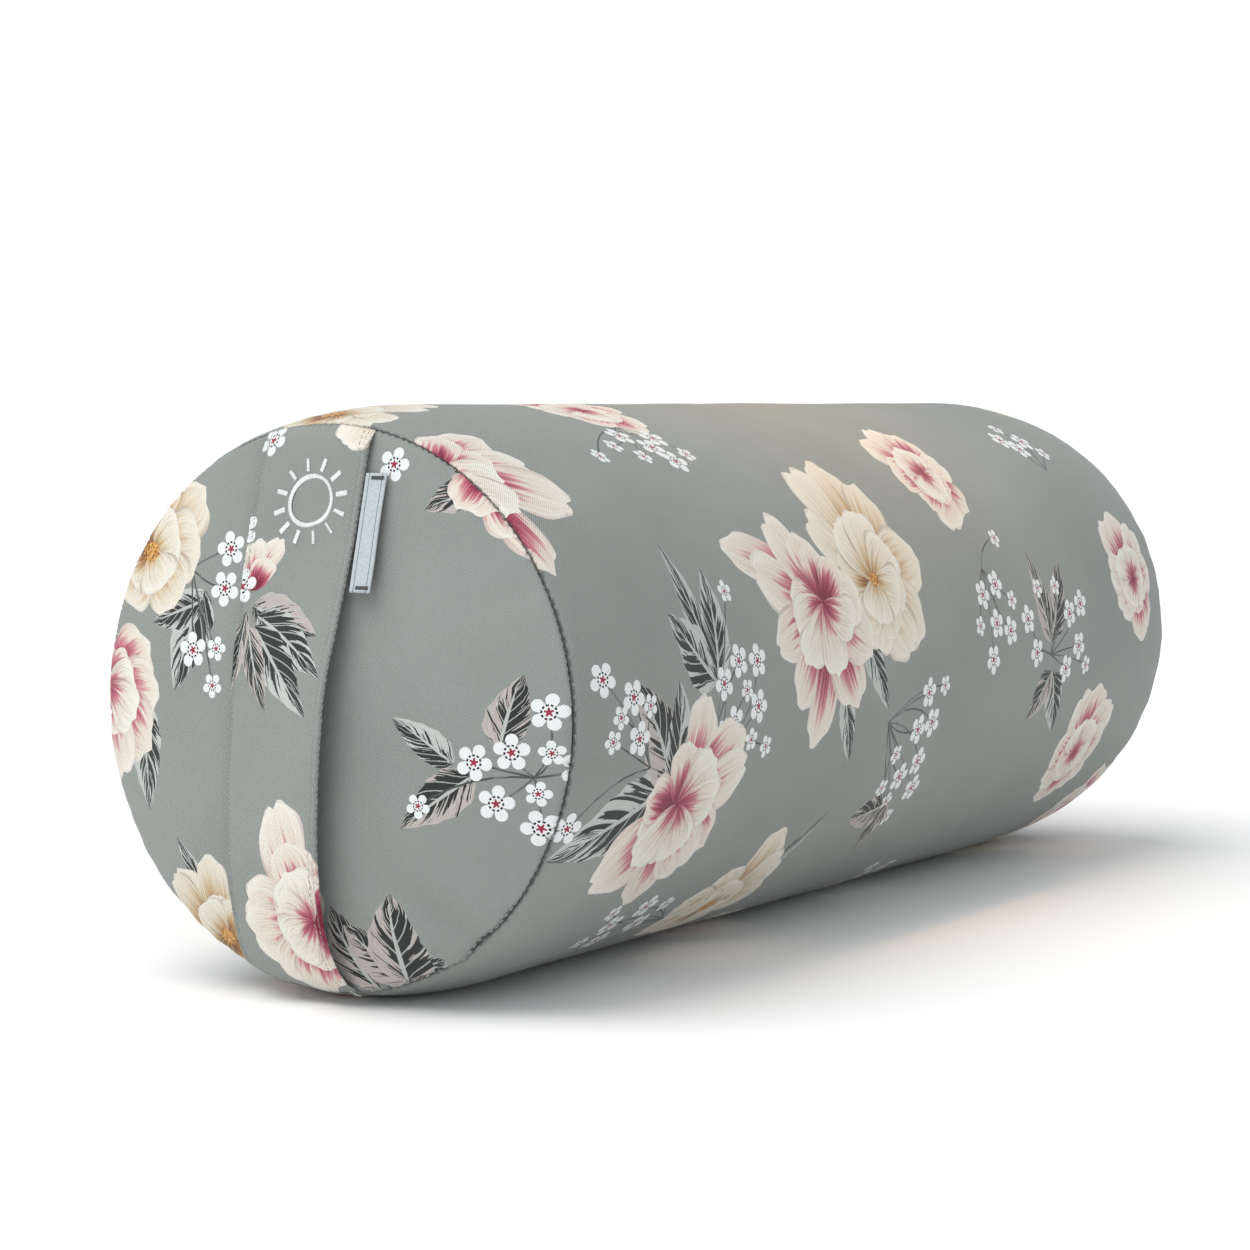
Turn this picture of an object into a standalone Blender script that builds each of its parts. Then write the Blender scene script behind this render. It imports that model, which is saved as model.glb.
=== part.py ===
"""Round bolster pillow with a loose fabric handle band on its front end.

The removable cover is a body panel and two end panels, sewn together along two
round seams and opened by a lengthwise coil zip at the rear. A plain inner case
holds the fibre filling. X runs along the bolster with the handle end at -X, the
bolster lies on z = 0, and the origin is on the floor under the middle of the body.
"""

import math

import bmesh
import bpy

# Driving dimensions, in metres and degrees
BODY_RADIUS = 0.115
SEAM_STEP = 0.0064  # how much smaller than the body the two end seams are
SEAM_SPAN = 0.571  # from the front end seam to the rear one
SHOULDER_LENGTH = 0.050  # the stretch over which the body narrows to a seam
REST_DEPTH = 0.003  # how far its own weight flattens the underside
END_BULGE = 0.0195
END_SAG = 0.5  # share by which the filling sinks towards the floor in the ends
END_FULLNESS = 0.6

COVER_CLOTH = 0.0012
CASE_CLOTH = 0.0010
LAYER_GAP = 0.0004
SEAM_GAP = 0.0010
CASE_SEAM_GAP = 0.0003
THREAD = 0.0004

BAND_WIDTH = 0.050
BAND_TOP_Y = 0.003
BAND_BOTTOM_Y = 0.011
BAND_CLOTH = 0.0024
BAND_GAP = 0.0006  # from the end panel to the band where it lies closest
BAND_SLACK = 0.0085  # how far the loose edge stands further out than the other one
BAND_END_INSET = 0.0006
TOPSTITCH_INSETS = (0.0022, 0.0042)
STITCH_LIFT = 0.0003

LABEL_LENGTH = 0.045
LABEL_DROP = 0.0165  # from the top seam down to the label
LABEL_REACH = 0.0085
LABEL_CLOTH = 0.0010
LABEL_GAP = 0.0003
TACK_LENGTH = 0.0050
TACK_WIDTH = 0.0012

EMBLEM_RADIUS = 0.0150
EMBLEM_DROP = 0.029  # from the top seam down to the emblem's centre
EMBLEM_OFFSET = -0.003  # from the band's middle towards its loose edge
EMBLEM_RING = 0.0085
EMBLEM_LINE = 0.0016
EMBLEM_RAYS = 12

ZIP_ANGLE = 10.0  # above the level of the axis, on the rear side
ZIP_END_MARGIN = 0.006  # from the zip's opening to where the body starts to narrow
SLOT_WIDTH = 0.0092
TAPE_CLOTH = 0.0006
TAPE_WIDTH = 0.0112
TAPE_TAIL = 0.010
TAPE_GAP = 0.0003
COIL_WIDTH = 0.0018
COIL_HEIGHT = 0.0016
COIL_GAP = 0.0014  # between the two rows, where the slider's bridge runs
STOP_LENGTH = 0.0030
RUNNING_GAP = 0.0003
SLIDER_LENGTH = 0.0100
SLIDER_PLATE = 0.0008
SLIDER_LIP = 0.0007
BRIDGE_LENGTH = 0.0025
CROWN_HEIGHT = 0.0017  # free height under the slider's crown
CROWN_SPAN = 0.0019
CROWN_BAR = 0.0009
CROWN_WIDTH = 0.0016
PULL_LENGTH = 0.0240
PULL_WIDTH = 0.0060
PULL_SHEET = 0.0009
PULL_WINDOW = 0.0030
PULL_WINDOW_GAP = 0.0004

# Positions that follow from them
SEAM_RADIUS = BODY_RADIUS - SEAM_STEP
AXIS_Z = BODY_RADIUS - REST_DEPTH
HALF_SPAN = SEAM_SPAN / 2
HALF_STRAIGHT = HALF_SPAN - SHOULDER_LENGTH
HALF_ZIP = HALF_STRAIGHT - ZIP_END_MARGIN
CASE_DEPTH = COVER_CLOTH + LAYER_GAP
FILLING_DEPTH = CASE_DEPTH + CASE_CLOTH + LAYER_GAP
FRONT, REAR = -1, 1

TAPE_OUTER = BODY_RADIUS - COVER_CLOTH - TAPE_GAP
TAPE_INNER = TAPE_OUTER - TAPE_CLOTH
COIL_MIDDLE = (TAPE_OUTER + TAPE_INNER) / 2
COIL_OUTER = COIL_MIDDLE + COIL_HEIGHT / 2
COIL_INNER = COIL_MIDDLE - COIL_HEIGHT / 2
COIL_EDGE = COIL_GAP / 2 + COIL_WIDTH
TAPE_EDGE = COIL_EDGE + TAPE_GAP
UPPER_PLATE = COIL_OUTER + RUNNING_GAP
LOWER_PLATE = COIL_INNER - RUNNING_GAP
SLIDER_INSIDE = COIL_EDGE + 2 * RUNNING_GAP
SLIDER_TOP = UPPER_PLATE + SLIDER_PLATE
SLIDER_BOTTOM = LOWER_PLATE - SLIDER_PLATE
PULL_RADIUS = SLIDER_TOP + CROWN_HEIGHT / 2
HALF_CHAIN = HALF_ZIP - STOP_LENGTH - 2 * RUNNING_GAP
CLOSED_X = HALF_CHAIN - RUNNING_GAP - SLIDER_LENGTH / 2
ZIP_RECESS = BODY_RADIUS - CASE_DEPTH - SLIDER_BOTTOM + LAYER_GAP


def clear_scene():
    for old in list(bpy.data.objects):
        bpy.data.objects.remove(old, do_unlink=True)


def material(name, colour, roughness, metallic=0.0):
    made = bpy.data.materials.new(name)
    made.use_nodes = True
    shader = made.node_tree.nodes["Principled BSDF"]
    shader.inputs["Base Color"].default_value = (*colour, 1.0)
    shader.inputs["Roughness"].default_value = roughness
    shader.inputs["Metallic"].default_value = metallic
    return made


def add_object(name, made, finish=None, smooth=True):
    bmesh.ops.recalc_face_normals(made, faces=made.faces)
    mesh = bpy.data.meshes.new(name)
    made.to_mesh(mesh)
    made.free()
    if smooth:
        mesh.shade_smooth()
        mesh.set_sharp_from_angle(angle=math.radians(35))
    if finish:
        mesh.materials.append(finish)
    added = bpy.data.objects.new(name, mesh)
    bpy.context.scene.collection.objects.link(added)
    return added


def solid_from_rings(rings, start=None, end=None):
    """A closed solid skinned over rings of points: capped at the points start
    and end, with flat end faces, across a strip's thickness with "ladder", or
    with the last ring joined to the first. Each four-sided cell is split from
    its low-x ring, so nested skins fold alike."""
    made = bmesh.new()
    loops = [[made.verts.new(point) for point in ring] for ring in rings]
    count = len(loops[0])
    pairs = list(zip(loops, loops[1:]))
    if start == "joined":
        pairs.append((loops[-1], loops[0]))
    for near, far in pairs:
        for i in range(count):
            j = (i + 1) % count
            if near[i].co.x > far[i].co.x:
                made.faces.new((near[i], near[j], far[i]))
                made.faces.new((near[j], far[j], far[i]))
            else:
                made.faces.new((near[i], near[j], far[j]))
                made.faces.new((near[i], far[j], far[i]))
    if start != "joined":
        for point, loop in ((start, loops[0]), (end or start, loops[-1])):
            if point is None:
                made.faces.new(loop)
                continue
            if start == "ladder":
                for i in range(count // 2 - 1):
                    made.faces.new((loop[i], loop[i + 1], loop[-2 - i], loop[-1 - i]))
                continue
            tip = made.verts.new(point)
            for i in range(count):
                made.faces.new((loop[i], loop[(i + 1) % count], tip))
    return made


def block(x, y, z):
    """A box between the two limits given on each axis."""
    rings = [[(at, y[0], z[0]), (at, y[1], z[0]), (at, y[1], z[1]), (at, y[0], z[1])] for at in x]
    return solid_from_rings(rings)


def extruded(outline, low, high, place):
    """A flat outline of (a, b) points made into a solid between two levels;
    place turns a, b and a level into a position."""
    return solid_from_rings([[place(a, b, level) for a, b in outline] for level in (low, high)])


def join_bodies(base, *others, operation="UNION"):
    """Booleans that add the others to the base object or cut them from it."""
    for other in others:
        other.hide_render = True
        other.display_type = "WIRE"
        step = base.modifiers.new(other.name, "BOOLEAN")
        step.operation = operation
        step.object = other


# The stuffed shape, as rings round the axis at a depth below the cover's face

def ring_angles():
    """Angles round the axis: every 3 degrees over the zip and about every 10 elsewhere."""
    zip_zone = [ZIP_ANGLE + offset for offset in range(-12, 13, 3)]
    steps = 32
    sweep = (360.0 - (zip_zone[-1] - zip_zone[0])) / steps
    rest = [zip_zone[-1] + sweep * i for i in range(1, steps)]
    return [math.radians(angle) for angle in zip_zone + rest]


ANGLES = ring_angles()


def body_radius(x):
    along = max(0.0, min(1.0, (abs(x) - HALF_STRAIGHT) / SHOULDER_LENGTH))
    return BODY_RADIUS - SEAM_STEP * along * along


def zip_recess(x, angle):
    """How much deeper the inner case lies behind the zip than elsewhere."""
    across = abs(angle - math.radians(ZIP_ANGLE)) * BODY_RADIUS
    slope = max(0.0, min(1.0, (0.024 - across) / 0.016))
    fade = max(0.0, min(1.0, (HALF_STRAIGHT + SHOULDER_LENGTH / 2 - abs(x)) / 0.010))
    return ZIP_RECESS * slope * slope * (3 - 2 * slope) * fade


def body_ring(x, depth, recessed=False):
    points = []
    for angle in ANGLES:
        radius = body_radius(x) - depth - (zip_recess(x, angle) if recessed else 0.0)
        height = AXIS_Z + radius * math.sin(angle)
        points.append((x, radius * math.cos(angle), max(height, depth)))
    return points


def body_stations(end):
    """Places along the body, close together where it narrows to the seams."""
    shares = (0.25, 0.5, 0.7, 0.85)
    shoulder = [HALF_STRAIGHT + SHOULDER_LENGTH * share for share in shares]
    right = [HALF_STRAIGHT / 2, HALF_STRAIGHT, *shoulder, end]
    return [-x for x in reversed(right)] + [0.0] + right


def end_bulge(y, height, depth=0.0):
    """How far an end stands out of its seam's plane, at y and at a height from the axis."""
    radius = SEAM_RADIUS - depth
    reach = min(1.0, math.hypot(y, height) / radius)
    lift = (END_BULGE - depth) * (1.0 - reach * reach) ** END_FULLNESS
    return lift * (1.0 - END_SAG * height / radius)


def end_rings(side, depth, seam_gap):
    """Rings of an end from its rim inwards, and its middle point."""
    plane = HALF_SPAN + seam_gap / 2
    radius = SEAM_RADIUS - depth
    rings = []
    for reach in (1.0, 0.985, 0.94, 0.85, 0.68, 0.45, 0.22):
        ring = []
        for angle in ANGLES:
            y = radius * reach * math.cos(angle)
            height = radius * reach * math.sin(angle)
            ring.append((side * (plane + end_bulge(y, height, depth)), y, AXIS_Z + height))
        rings.append(ring)
    return rings, (side * (plane + end_bulge(0.0, 0.0, depth)), 0.0, AXIS_Z)


def tube_panel(name, depth, cloth, seam_gap, finish, recessed=False):
    stations = body_stations(HALF_SPAN - seam_gap / 2)
    outside = [body_ring(x, depth, recessed) for x in stations]
    inside = [body_ring(x, depth + cloth, recessed) for x in reversed(stations)]
    return add_object(name, solid_from_rings(outside + inside, "joined"), finish)


def end_panel(name, side, depth, cloth, seam_gap, finish):
    outside, outer_middle = end_rings(side, depth, seam_gap)
    inside, inner_middle = end_rings(side, depth + cloth, seam_gap)
    rings = list(reversed(outside)) + inside
    return add_object(name, solid_from_rings(rings, outer_middle, inner_middle), finish)


def make_cover(finish):
    body = tube_panel("cover_body", 0.0, COVER_CLOTH, SEAM_GAP, finish)
    slot = add_object("zip_slot_cutter", block(
        (-HALF_ZIP, HALF_ZIP),
        (TAPE_INNER, BODY_RADIUS + COVER_CLOTH),
        (-SLOT_WIDTH / 2, SLOT_WIDTH / 2),
    ))
    place_at_zip(slot)
    join_bodies(body, slot, operation="DIFFERENCE")
    end_panel("cover_end_front", FRONT, 0.0, COVER_CLOTH, SEAM_GAP, finish)
    end_panel("cover_end_rear", REAR, 0.0, COVER_CLOTH, SEAM_GAP, finish)


def make_insert(case_finish, filling_finish):
    tube_panel("inner_case_body", CASE_DEPTH, CASE_CLOTH, CASE_SEAM_GAP, case_finish, True)
    end_panel("inner_case_end_front", FRONT, CASE_DEPTH, CASE_CLOTH, CASE_SEAM_GAP, case_finish)
    end_panel("inner_case_end_rear", REAR, CASE_DEPTH, CASE_CLOTH, CASE_SEAM_GAP, case_finish)
    front, front_middle = end_rings(FRONT, FILLING_DEPTH, CASE_SEAM_GAP)
    rear, rear_middle = end_rings(REAR, FILLING_DEPTH, CASE_SEAM_GAP)
    stations = body_stations(HALF_SPAN - CASE_SEAM_GAP)
    middle = [body_ring(x, FILLING_DEPTH, True) for x in stations]
    rings = list(reversed(front)) + middle + rear
    add_object("filling", solid_from_rings(rings, front_middle, rear_middle), filling_finish)


def make_seam_thread(name, side, finish):
    """The lockstitch that shows at the bottom of an end seam."""
    middle = SEAM_RADIUS - THREAD
    rings = []
    for angle in ANGLES:
        ring = []
        for corner in range(4):
            turn = math.radians(90 * corner)
            radius = middle + THREAD / 2 * math.cos(turn)
            x = side * HALF_SPAN + THREAD / 2 * math.sin(turn)
            ring.append((x, radius * math.cos(angle), AXIS_Z + radius * math.sin(angle)))
        rings.append(ring)
    add_object(name, solid_from_rings(rings, "joined"), finish)


# The handle band over the front end

BAND_LENGTH = 2 * (SEAM_RADIUS - BAND_END_INSET)


def smoothstep(value):
    value = max(0.0, min(1.0, value))
    return value * value * (3 - 2 * value)


def band_point(down, across, lift=0.0):
    """A point on the band's outer face: down is 0 at the top seam and 1 at the
    bottom one, across is -0.5 at the loose edge and 0.5 at the other."""
    y = BAND_TOP_Y + (BAND_BOTTOM_Y - BAND_TOP_Y) * down + BAND_WIDTH * across
    height = math.sqrt((BAND_LENGTH / 2) ** 2 - y * y) * (1 - 2 * down)
    slack = BAND_SLACK * smoothstep((down - 0.12) / 0.38) * (1 - down**14)
    stand = BAND_GAP + BAND_CLOTH + slack * (0.5 - across) + lift
    return (-(HALF_SPAN + SEAM_GAP / 2 + end_bulge(y, height) + stand), y, AXIS_Z + height)


def band_grid(across_values, down_values, lift):
    return [[band_point(down, across, lift) for across in across_values] for down in down_values]


BAND_DOWN = [0.5 - 0.5 * math.cos(math.pi * i / 20) for i in range(21)]


def make_band(finish, thread_finish):
    across = [i / 6 - 0.5 for i in range(7)]
    outside = band_grid(across, BAND_DOWN, 0.0)
    inside = band_grid(across, BAND_DOWN, -BAND_CLOTH)
    rings = [face + list(reversed(back)) for face, back in zip(outside, inside)]
    add_object("handle_band", solid_from_rings(rings, "ladder"), finish)

    outer, inner = (inset / BAND_WIDTH for inset in TOPSTITCH_INSETS)
    half = THREAD / 2 / BAND_WIDTH
    rows = (("loose_outer", outer - 0.5), ("loose_inner", inner - 0.5), ("fixed", 0.5 - outer))
    for name, row in rows:
        rings = []
        for down in BAND_DOWN[1:-1]:
            sides = (row - half, row + half)
            low = [band_point(down, side, STITCH_LIFT) for side in sides]
            high = [band_point(down, side, STITCH_LIFT + THREAD) for side in reversed(sides)]
            rings.append(low + high)
        add_object(f"band_topstitch_{name}", solid_from_rings(rings), thread_finish)


def make_emblem(finish):
    """A plain sun of satin stitch laid on the band: a ring with short rays."""
    centre_down = EMBLEM_DROP / BAND_LENGTH

    def on_band(radius, turn, lift):
        across = (EMBLEM_OFFSET + radius * math.sin(turn)) / BAND_WIDTH
        down = centre_down - radius * math.cos(turn) / BAND_LENGTH
        return band_point(down, across, STITCH_LIFT + lift)

    hole = EMBLEM_RING - EMBLEM_LINE / 2
    rim = EMBLEM_RING + EMBLEM_LINE / 2
    foot, tip = EMBLEM_LINE / 2 / rim, EMBLEM_LINE / 2 / EMBLEM_RADIUS
    rings = []
    for ray in range(EMBLEM_RAYS):
        middle = math.tau * ray / EMBLEM_RAYS
        edge = ((-foot, rim), (-tip, EMBLEM_RADIUS), (tip, EMBLEM_RADIUS), (foot, rim))
        for turn, radius in edge:
            turn += middle
            low = [on_band(hole, turn, 0.0), on_band(radius, turn, 0.0)]
            high = [on_band(radius, turn, THREAD), on_band(hole, turn, THREAD)]
            rings.append(low + high)
    add_object("emblem_embroidery", solid_from_rings(rings, "joined"), finish)


# The folded ribbon label on the band's loose edge

def label_frame():
    """The label's top and bottom hinge points, beside the band's loose edge."""
    ends = []
    for drop in (LABEL_DROP, LABEL_DROP + LABEL_LENGTH):
        x, y, z = band_point(drop / BAND_LENGTH, -0.5, -BAND_CLOTH / 2)
        ends.append((x, y, z))
    outermost = min(end[1] for end in ends) - LABEL_GAP - LABEL_CLOTH / 2
    return [(x, outermost, z) for x, _, z in ends]


LABEL_TOP, LABEL_BOTTOM = label_frame()


def make_label(finish, tack_finish):
    """A ribbon folded on itself, round at its fold and at its sewn edge."""
    top, bottom = LABEL_TOP, LABEL_BOTTOM
    length = math.dist(top, bottom)
    slope = math.atan2(top[0] - bottom[0], top[2] - bottom[2])
    half = LABEL_CLOTH / 2
    outline = []
    for i in range(6):
        turn = math.pi * i / 5
        outline.append((half * math.cos(turn), half * math.sin(turn)))
    for i in range(6):
        turn = math.pi * (1 + i / 5)
        outline.append((half * math.cos(turn), half * math.sin(turn) - LABEL_REACH + half))
    label = add_object("side_label", extruded(outline, -length, 0.0, lambda a, b, at: (a, b, at)), finish)
    pieces = [label]
    face = -half - STITCH_LIFT
    across = (-LABEL_REACH + half, -LABEL_REACH + half + TACK_LENGTH)
    for name, low in (("bottom", -length + TACK_WIDTH), ("top", -2 * TACK_WIDTH)):
        tack = block((face - THREAD, face), across, (low, low + TACK_WIDTH))
        pieces.append(add_object(f"label_tack_{name}", tack, tack_finish))
    for piece in pieces:
        piece.location = top
        piece.rotation_euler = (0.0, slope, 0.0)


# The zip, modelled with local Y pointing out of the body and local Z up along it

def place_at_zip(piece, x=0.0, radius=0.0):
    angle = math.radians(ZIP_ANGLE)
    piece.location = (x, radius * math.cos(angle), AXIS_Z + radius * math.sin(angle))
    piece.rotation_euler = (angle, 0.0, 0.0)


def make_tape(name, side, finish):
    """A tape's curved strip, behind the cover's cloth on one side of the slot."""
    half = HALF_ZIP + TAPE_TAIL
    spread = [TAPE_EDGE + TAPE_WIDTH * i / 4 for i in range(5)]
    rings = []
    for x in (-half, half):
        turns = [math.asin(side * reach / BODY_RADIUS) for reach in spread]
        outside = [(x, TAPE_OUTER * math.cos(a), TAPE_OUTER * math.sin(a)) for a in turns]
        inside = [(x, TAPE_INNER * math.cos(a), TAPE_INNER * math.sin(a)) for a in turns]
        rings.append(outside + list(reversed(inside)))
    place_at_zip(add_object(name, solid_from_rings(rings), finish))


def make_zip_chain(tape_finish, coil_finish, stop_finish, thread_finish):
    make_tape("zip_tape_upper", 1, tape_finish)
    make_tape("zip_tape_lower", -1, tape_finish)
    height = (COIL_INNER, COIL_OUTER)
    stop_x = (HALF_CHAIN + RUNNING_GAP, HALF_CHAIN + RUNNING_GAP + STOP_LENGTH)
    row = SLOT_WIDTH / 2 + TOPSTITCH_INSETS[0]
    face = BODY_RADIUS * math.cos(math.asin(row / BODY_RADIUS)) + STITCH_LIFT
    for name, side in (("upper", 1), ("lower", -1)):
        teeth = sorted((side * COIL_GAP / 2, side * COIL_EDGE))
        stitches = sorted((side * row, side * (row + THREAD)))
        coil = block((-HALF_CHAIN, HALF_CHAIN), height, teeth)
        stop = block(stop_x, height, teeth)
        thread = block((-HALF_ZIP, HALF_ZIP), (face, face + THREAD), stitches)
        place_at_zip(add_object(f"zip_coil_{name}", coil, coil_finish))
        place_at_zip(add_object(f"zip_top_stop_{name}", stop, stop_finish))
        place_at_zip(add_object(f"zip_topstitch_{name}", thread, thread_finish))
    bottom_stop = block((-stop_x[1], -stop_x[0]), height, (-COIL_EDGE, COIL_EDGE))
    place_at_zip(add_object("zip_bottom_stop", bottom_stop, stop_finish))


def make_slider(finish):
    """Two lipped plates held apart by a bridge, with a crown over the pull's bar."""
    half_width = SLIDER_INSIDE + SLIDER_LIP
    half_length = SLIDER_LENGTH / 2

    def plate(name, inner, outer, lip):
        outline = [(inner, -SLIDER_INSIDE), (inner, SLIDER_INSIDE), (lip, SLIDER_INSIDE), (lip, half_width),
                   (outer, half_width), (outer, -half_width), (lip, -half_width), (lip, -SLIDER_INSIDE)]
        made = extruded(outline, -half_length, half_length, lambda r, t, x: (x, r, t))
        return add_object(name, made, finish, smooth=False)

    slider = plate("zip_slider", UPPER_PLATE, SLIDER_TOP, TAPE_OUTER + RUNNING_GAP)
    lower = plate("slider_lower_plate", LOWER_PLATE, SLIDER_BOTTOM, TAPE_INNER - RUNNING_GAP)
    half_bridge = COIL_GAP / 2 - RUNNING_GAP
    bridge = add_object("slider_bridge", block(
        (half_length - BRIDGE_LENGTH, half_length - SLIDER_LIP),
        (LOWER_PLATE - SLIDER_PLATE / 2, UPPER_PLATE + SLIDER_PLATE / 2),
        (-half_bridge, half_bridge),
    ))
    foot, underside = SLIDER_TOP - SLIDER_PLATE / 2, SLIDER_TOP + CROWN_HEIGHT
    inside, outside = CROWN_SPAN / 2, CROWN_SPAN / 2 + CROWN_BAR
    arch = [(-outside, foot), (-outside, underside + CROWN_BAR), (outside, underside + CROWN_BAR),
            (outside, foot), (inside, foot), (inside, underside), (-inside, underside), (-inside, foot)]
    crown = add_object("slider_crown", extruded(
        arch, -CROWN_WIDTH / 2, CROWN_WIDTH / 2, lambda x, r, t: (x, r, t)))
    join_bodies(slider, lower, bridge, crown)
    for piece in (slider, lower, bridge, crown):
        place_at_zip(piece, x=CLOSED_X)


def make_pull(finish):
    """A flat blade whose end bar turns under the slider's crown."""
    half_bar = PULL_SHEET / 2
    half_width = PULL_WIDTH / 2
    tip = -PULL_LENGTH + half_width
    outline = [(half_bar, -half_width), (half_bar, half_width), (tip, half_width)]
    for i in range(1, 8):
        turn = math.pi * i / 8
        outline.append((tip - half_width * math.sin(turn), half_width * math.cos(turn)))
    outline.append((tip, -half_width))
    blade = add_object("zip_pull", extruded(
        outline, -half_bar, half_bar, lambda x, t, r: (x, r, t)), finish)
    reach = CROWN_WIDTH / 2 + PULL_WINDOW_GAP
    window = add_object("pull_window_cutter", block(
        (-half_bar - PULL_WINDOW, -half_bar), (-PULL_SHEET, PULL_SHEET), (-reach, reach)))
    join_bodies(blade, window, operation="DIFFERENCE")
    for piece in (blade, window):
        place_at_zip(piece, CLOSED_X, PULL_RADIUS)


def main():
    clear_scene()
    print_cloth = material("printed_cotton", (0.28, 0.29, 0.28), 0.85)
    case_cloth = material("calico", (0.80, 0.77, 0.70), 0.9)
    fibre = material("fibre_filling", (0.90, 0.90, 0.88), 1.0)
    thread = material("sewing_thread", (0.70, 0.71, 0.69), 0.6)
    satin = material("satin_stitch", (0.85, 0.85, 0.84), 0.45)
    ribbon = material("woven_ribbon", (0.33, 0.38, 0.40), 0.7)
    dark_thread = material("dark_thread", (0.03, 0.03, 0.03), 0.6)
    tape = material("zip_tape", (0.24, 0.25, 0.25), 0.8)
    coil = material("zip_coil", (0.22, 0.23, 0.23), 0.4)
    steel = material("zip_metal", (0.55, 0.55, 0.55), 0.3, metallic=1.0)

    make_cover(print_cloth)
    make_insert(case_cloth, fibre)
    make_seam_thread("seam_thread_front", FRONT, thread)
    make_seam_thread("seam_thread_rear", REAR, thread)
    make_band(print_cloth, thread)
    make_emblem(satin)
    make_label(ribbon, dark_thread)
    make_zip_chain(tape, coil, steel, thread)
    make_slider(steel)
    make_pull(steel)


main()
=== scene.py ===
import bpy
import math
import numpy as np
from mathutils import Matrix, Vector, noise
from mathutils.bvhtree import BVHTree
from mathutils.geometry import barycentric_transform, delaunay_2d_cdt


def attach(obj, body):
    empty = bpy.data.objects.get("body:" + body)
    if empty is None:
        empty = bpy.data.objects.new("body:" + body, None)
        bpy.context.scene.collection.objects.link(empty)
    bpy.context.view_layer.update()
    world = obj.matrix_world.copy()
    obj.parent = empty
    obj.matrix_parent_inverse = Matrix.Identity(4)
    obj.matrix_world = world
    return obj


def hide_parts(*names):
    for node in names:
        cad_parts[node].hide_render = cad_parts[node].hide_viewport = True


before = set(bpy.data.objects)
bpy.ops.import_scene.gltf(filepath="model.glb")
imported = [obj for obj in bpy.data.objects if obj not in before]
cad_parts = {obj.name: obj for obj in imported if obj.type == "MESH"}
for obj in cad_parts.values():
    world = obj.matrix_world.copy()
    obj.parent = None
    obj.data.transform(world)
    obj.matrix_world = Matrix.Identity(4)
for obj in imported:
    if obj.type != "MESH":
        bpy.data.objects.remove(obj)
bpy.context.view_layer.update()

scene = bpy.context.scene

# ---------------------------------------------------------------------------------------------
# Shape of the stuffed cover. The bolster is a cylinder of cotton drawn in a little at both
# seams, with a round panel at each end pushed out by the filling, and it lies on its side.
# A cloth simulation inflates the sewn cover, and every layer of cloth then follows it.
RADIUS = 0.115
SEAM_RADIUS = 0.1086
HALF_SPAN = 0.2855
SHOULDER = 0.050
AXIS_Z = 0.112
BULGE = 0.0195
ZIP_ANGLE = math.radians(10)
HALF_ZIP = 0.2295
AROUND = 120            # points round one ring
RINGS = 97
CAP = 0.0045            # how far the simulation may move a point
FRAMES = 24             # frames until the simulated cover is at rest


def eased(value):
    value = np.clip(value, 0.0, 1.0)
    return value * value * (3 - 2 * value)


def cover_radius(x):
    along = np.clip((np.abs(x) - (HALF_SPAN - SHOULDER)) / SHOULDER, 0, 1)
    return RADIUS - (RADIUS - SEAM_RADIUS) * along**2


def end_bulge(y, height, depth=0.0):
    radius = SEAM_RADIUS - depth
    reach = np.minimum(1.0, np.hypot(y, height) / radius)
    return (BULGE - depth) * (1 - reach**2) ** 0.6 * (1 - 0.5 * height / radius)


ring_angles = np.radians(np.arange(AROUND) * 360 / AROUND)
stations = np.linspace(-HALF_SPAN, HALF_SPAN, RINGS)
form_points, form_cut = [], []
for x in stations:
    radius = cover_radius(x)
    end = abs(x) > HALF_SPAN - 1e-6
    place = x + math.copysign(0.00025, x) * end
    drawn_in = max(0.0, (abs(x) - 0.2) / (HALF_SPAN - 0.2))
    spare = 1.004 + 0.03 * drawn_in**3
    for a in ring_angles:
        height = max(AXIS_Z + radius * math.sin(a), 0.0)
        form_points.append((place, radius * math.cos(a), height))
        form_cut.append((x * 1.004, radius * spare * math.cos(a), AXIS_Z + radius * spare * math.sin(a)))
form_faces = []
for i in range(RINGS - 1):
    for j in range(AROUND):
        k = (j + 1) % AROUND
        form_faces.append((i * AROUND + j, i * AROUND + k, (i + 1) * AROUND + k, (i + 1) * AROUND + j))
for side, ring in ((-1, 0), (1, RINGS - 1)):
    n = AROUND // 4
    index = {}
    for i in range(n + 1):
        for j in range(n + 1):
            a, b = 2 * i / n - 1, 2 * j / n - 1
            if abs(a) >= abs(b):
                reach = abs(a)
                turn = (math.pi / 4 * b / a if a else 0.0) + (math.pi if a < 0 else 0.0)
            else:
                reach = abs(b)
                turn = math.pi / 2 - math.pi / 4 * a / b + (math.pi if b < 0 else 0.0)
            if reach > 1 - 1e-9:
                index[i, j] = ring * AROUND + round(math.degrees(turn) / (360 / AROUND)) % AROUND
                continue
            y, h = SEAM_RADIUS * reach * math.cos(turn), SEAM_RADIUS * reach * math.sin(turn)
            index[i, j] = len(form_points)
            form_points.append((side * (HALF_SPAN + 0.0005 + float(end_bulge(y, h))), y, AXIS_Z + h))
            form_cut.append((side * HALF_SPAN * 1.004, y * 1.03, AXIS_Z + h * 1.03))
    for i in range(n):
        for j in range(n):
            quad = (index[i, j], index[i + 1, j], index[i + 1, j + 1], index[i, j + 1])
            form_faces.append(quad if side > 0 else quad[::-1])
form_points, form_cut = np.array(form_points), np.array(form_cut)


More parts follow.
